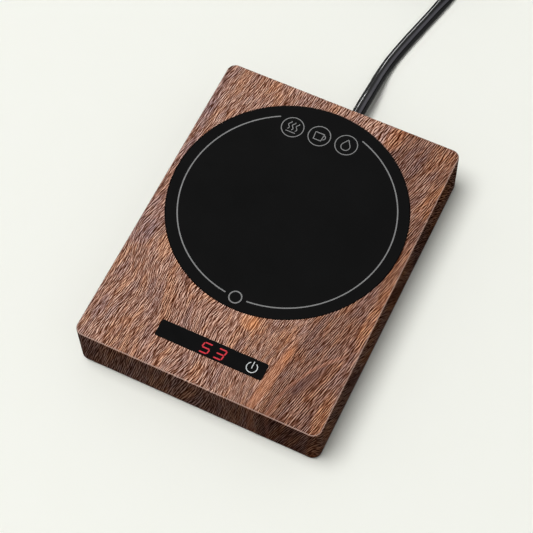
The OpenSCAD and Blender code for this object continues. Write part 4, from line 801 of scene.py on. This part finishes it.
# ---------------------------------------------------------------------------
# Cut-out and fuse
# Phenolic case with a ceramic guide and pin, brass strips, silver contacts and a bimetal disc. Its
# flange is screwed to the plate. The one-shot fuse is a ceramic tube in a steel clip.
dress(finish("phenolic", srgb(74, 50, 38), srgb(58, 40, 32), dull=0.5, shiny=0.35,
             mottle_size=0.003, grain_size=0.0003), "cutout_case")
dress(finish("ceramic", srgb(238, 233, 222), srgb(226, 220, 206), dull=0.35, shiny=0.2,
             mottle_size=0.004, relief=0.1), "guide_disc", "trip_pin", "thermal_fuse", "input_fuse")
dress(finish("bimetal", srgb(196, 170, 120), srgb(172, 146, 100), dull=0.42, shiny=0.28,
             mottle_size=0.003, Metallic=1.0), "bimetal_disc")
dress(finish("brass strip", srgb(206, 172, 104), srgb(184, 148, 84), dull=0.42, shiny=0.28,
             mottle_size=0.002, stretch=(1, 0.2, 1), Metallic=1.0), "contact_arm",
      "contact_terminals", "touch_spring")
dress(finish("silver contact", srgb(224, 224, 220), srgb(204, 204, 198), dull=0.35, shiny=0.2,
             mottle_size=0.001, Metallic=1.0), "moving_contact")


# ---------------------------------------------------------------------------
# Boards
# Two green glass-fibre laminates screwed to the posts of the cover. Their parts are of moulded
# plastic, epoxy, ceramic and sleeved aluminium, soldered on.
board, tree, board_shader = new_material("green laminate")
where = put(tree, "ShaderNodeTexCoord").outputs["Object"]
tracks = put(tree, "ShaderNodeTexBrick", {
    "Vector": where, "Color1": srgb(22, 96, 54), "Color2": srgb(18, 84, 48),
    "Mortar": srgb(44, 132, 74), "Scale": 1.0, "Mortar Size": 0.0004, "Brick Width": 0.009,
    "Row Height": 0.0026})
weave = put(tree, "ShaderNodeTexNoise", {"Vector": where, "Scale": 1600.0, "Detail": 2.0})
tree.links.new(tracks.outputs[0], board_shader.inputs["Base Color"])
tree.links.new(ranged(tree, weave.outputs[0], 0.3, 0.7, 0.3, 0.45),
               board_shader.inputs["Roughness"])
tree.links.new(put(tree, "ShaderNodeBump", {
    "Height": tracks.outputs["Fac"], "Strength": 0.4, "Distance": 0.00004}).outputs[0],
    board_shader.inputs["Normal"])
dress(board, "control_board", "power_board")
for colour, second, names in (
        (srgb(40, 40, 43), srgb(34, 34, 36), ("control_chip", "triac", "supply_chip")),
        (srgb(240, 238, 230), srgb(228, 225, 214), ("harness_connectors", "cord_clamp",
                                                    "digit_shade")),
        (srgb(48, 122, 76), srgb(40, 108, 66), ("screw_terminals",)),
        (srgb(58, 58, 62), srgb(48, 48, 52), ("supply_inductor",)),
        (srgb(48, 56, 92), srgb(40, 46, 80), ("smoothing_capacitors",)),
        (srgb(206, 170, 48), srgb(190, 154, 38), ("film_capacitor",)),
        (srgb(48, 100, 176), srgb(38, 88, 160), ("varistor",))):
    dress(finish(names[0] + " moulding", colour, second, dull=0.55, shiny=0.35, mottle_size=0.003,
                 grain_size=0.0003), *names)


# ---------------------------------------------------------------------------
# Wiring
# PVC-insulated hook-up wire from board to board and to the lead. Next to the heater the wires run
# in a braided glass sleeve.
dress(finish("grey wire", srgb(206, 206, 206), srgb(190, 190, 190), dull=0.5, shiny=0.35,
             mottle_size=0.004), "display_harness")
dress(finish("glass sleeve", srgb(236, 233, 224), srgb(216, 212, 200), dull=0.9, shiny=0.7,
             mottle_size=0.001, grain_size=0.0004, relief=0.8, depth=0.0001), "heater_leads")
mains, tree, mains_shader = new_material("mains wire")
where = put(tree, "ShaderNodeTexCoord").outputs["Object"]
rough = put(tree, "ShaderNodeTexNoise", {"Vector": where, "Scale": 700.0, "Detail": 2.0})
tree.links.new(blend_colours(tree, rough.outputs[0], srgb(98, 62, 42), srgb(82, 52, 36)),
               mains_shader.inputs["Base Color"])
tree.links.new(ranged(tree, rough.outputs[0], 0.3, 0.7, 0.35, 0.5),
               mains_shader.inputs["Roughness"])
dress(mains, "mains_leads")
dress(finish("black wire", srgb(40, 40, 42), srgb(32, 32, 34), dull=0.5, shiny=0.35,
             mottle_size=0.004), "sensor_leads")
dress(lead_pvc, "cord_sheath")


# ---------------------------------------------------------------------------
# Table and light
# A pale table fades into a sky of the same tone. Both light other surfaces less than they look. A
# soft lamp is high on the left, and a long one at the back shows only in reflections.
def seen_directly(tree):
    """1 where a ray comes from the camera, a reflection or clear glass, else 0."""
    path = put(tree, "ShaderNodeLightPath").outputs
    return maths(tree, "MAXIMUM", path["Is Camera Ray"],
                 maths(tree, "MAXIMUM", path["Is Glossy Ray"], path["Is Transmission Ray"]))


table, tree, table_shader = new_material("pale table")
tree.nodes.remove(table_shader)
where = put(tree, "ShaderNodeTexCoord").outputs["Object"]
seen = seen_directly(tree)
backdrop_tone = srgb(247, 248, 240)
rough = put(tree, "ShaderNodeTexNoise", {"Vector": where, "Scale": 40.0, "Detail": 2.0})
pale = blend_colours(tree, rough.outputs[0], backdrop_tone, srgb(248, 249, 242))
diffuse = put(tree, "ShaderNodeBsdfDiffuse", {
    "Color": blend_colours(tree, seen, srgb(150, 148, 142), pale)})
distance = put(tree, "ShaderNodeVectorMath", {0: where}, operation="LENGTH").outputs["Value"]
faded = put(tree, "ShaderNodeMixShader", {
    0: maths(tree, "MULTIPLY", seen, ranged(tree, distance, 0.1, 0.7)), 1: diffuse.outputs[0],
    2: put(tree, "ShaderNodeEmission", {"Color": backdrop_tone}).outputs[0]})
tree.links.new(faded.outputs[0], tree.nodes["Material Output"].inputs[0])
floor_shape = bmesh.new()
bmesh.ops.create_grid(floor_shape, x_segments=1, y_segments=1, size=3.0)
floor_mesh = bpy.data.meshes.new("table_top")
floor_shape.to_mesh(floor_mesh)
floor_shape.free()
floor_mesh.materials.append(table)
floor = bpy.data.objects.new("table_top", floor_mesh)
bpy.context.scene.collection.objects.link(floor)

world = bpy.data.worlds.new("studio")
bpy.context.scene.world = world
world.use_nodes = True
tree = world.node_tree
sky = tree.nodes["Background"]
tree.links.new(blend_colours(tree, seen_directly(tree), (0.3, 0.3, 0.3, 1), backdrop_tone),
               sky.inputs["Color"])
sky.inputs["Strength"].default_value = 1.0

lamp_data = bpy.data.lights.new("soft_lamp", "AREA")
lamp_data.shape = "DISK"
lamp_data.size = 2.4
lamp_data.energy = 120
lamp = bpy.data.objects.new("soft_lamp", lamp_data)
lamp_at = Vector((-0.9, -0.4, 3.9))
lamp.matrix_world = (Matrix.Translation(lamp_at)
                     @ lamp_at.to_track_quat("Z", "Y").to_matrix().to_4x4())
bpy.context.scene.collection.objects.link(lamp)

strip_data = bpy.data.lights.new("strip_lamp", "AREA")
strip_data.shape = "RECTANGLE"
strip_data.size = 0.25
strip_data.size_y = 1.8
strip_data.energy = 135
strip = bpy.data.objects.new("strip_lamp", strip_data)
strip_at = Vector((-1.15, 1.6, 2.0))
strip_back = strip_at.normalized()
strip_long = (Vector((0, 1, 0)) - strip_back.y * strip_back).normalized()
strip.matrix_world = (Matrix.Translation(strip_at) @ Matrix(
    (strip_long.cross(strip_back), strip_long, strip_back)).transposed().to_4x4())
strip.visible_diffuse = False
bpy.context.scene.collection.objects.link(strip)

bpy.context.scene.view_settings.view_transform = "Standard"
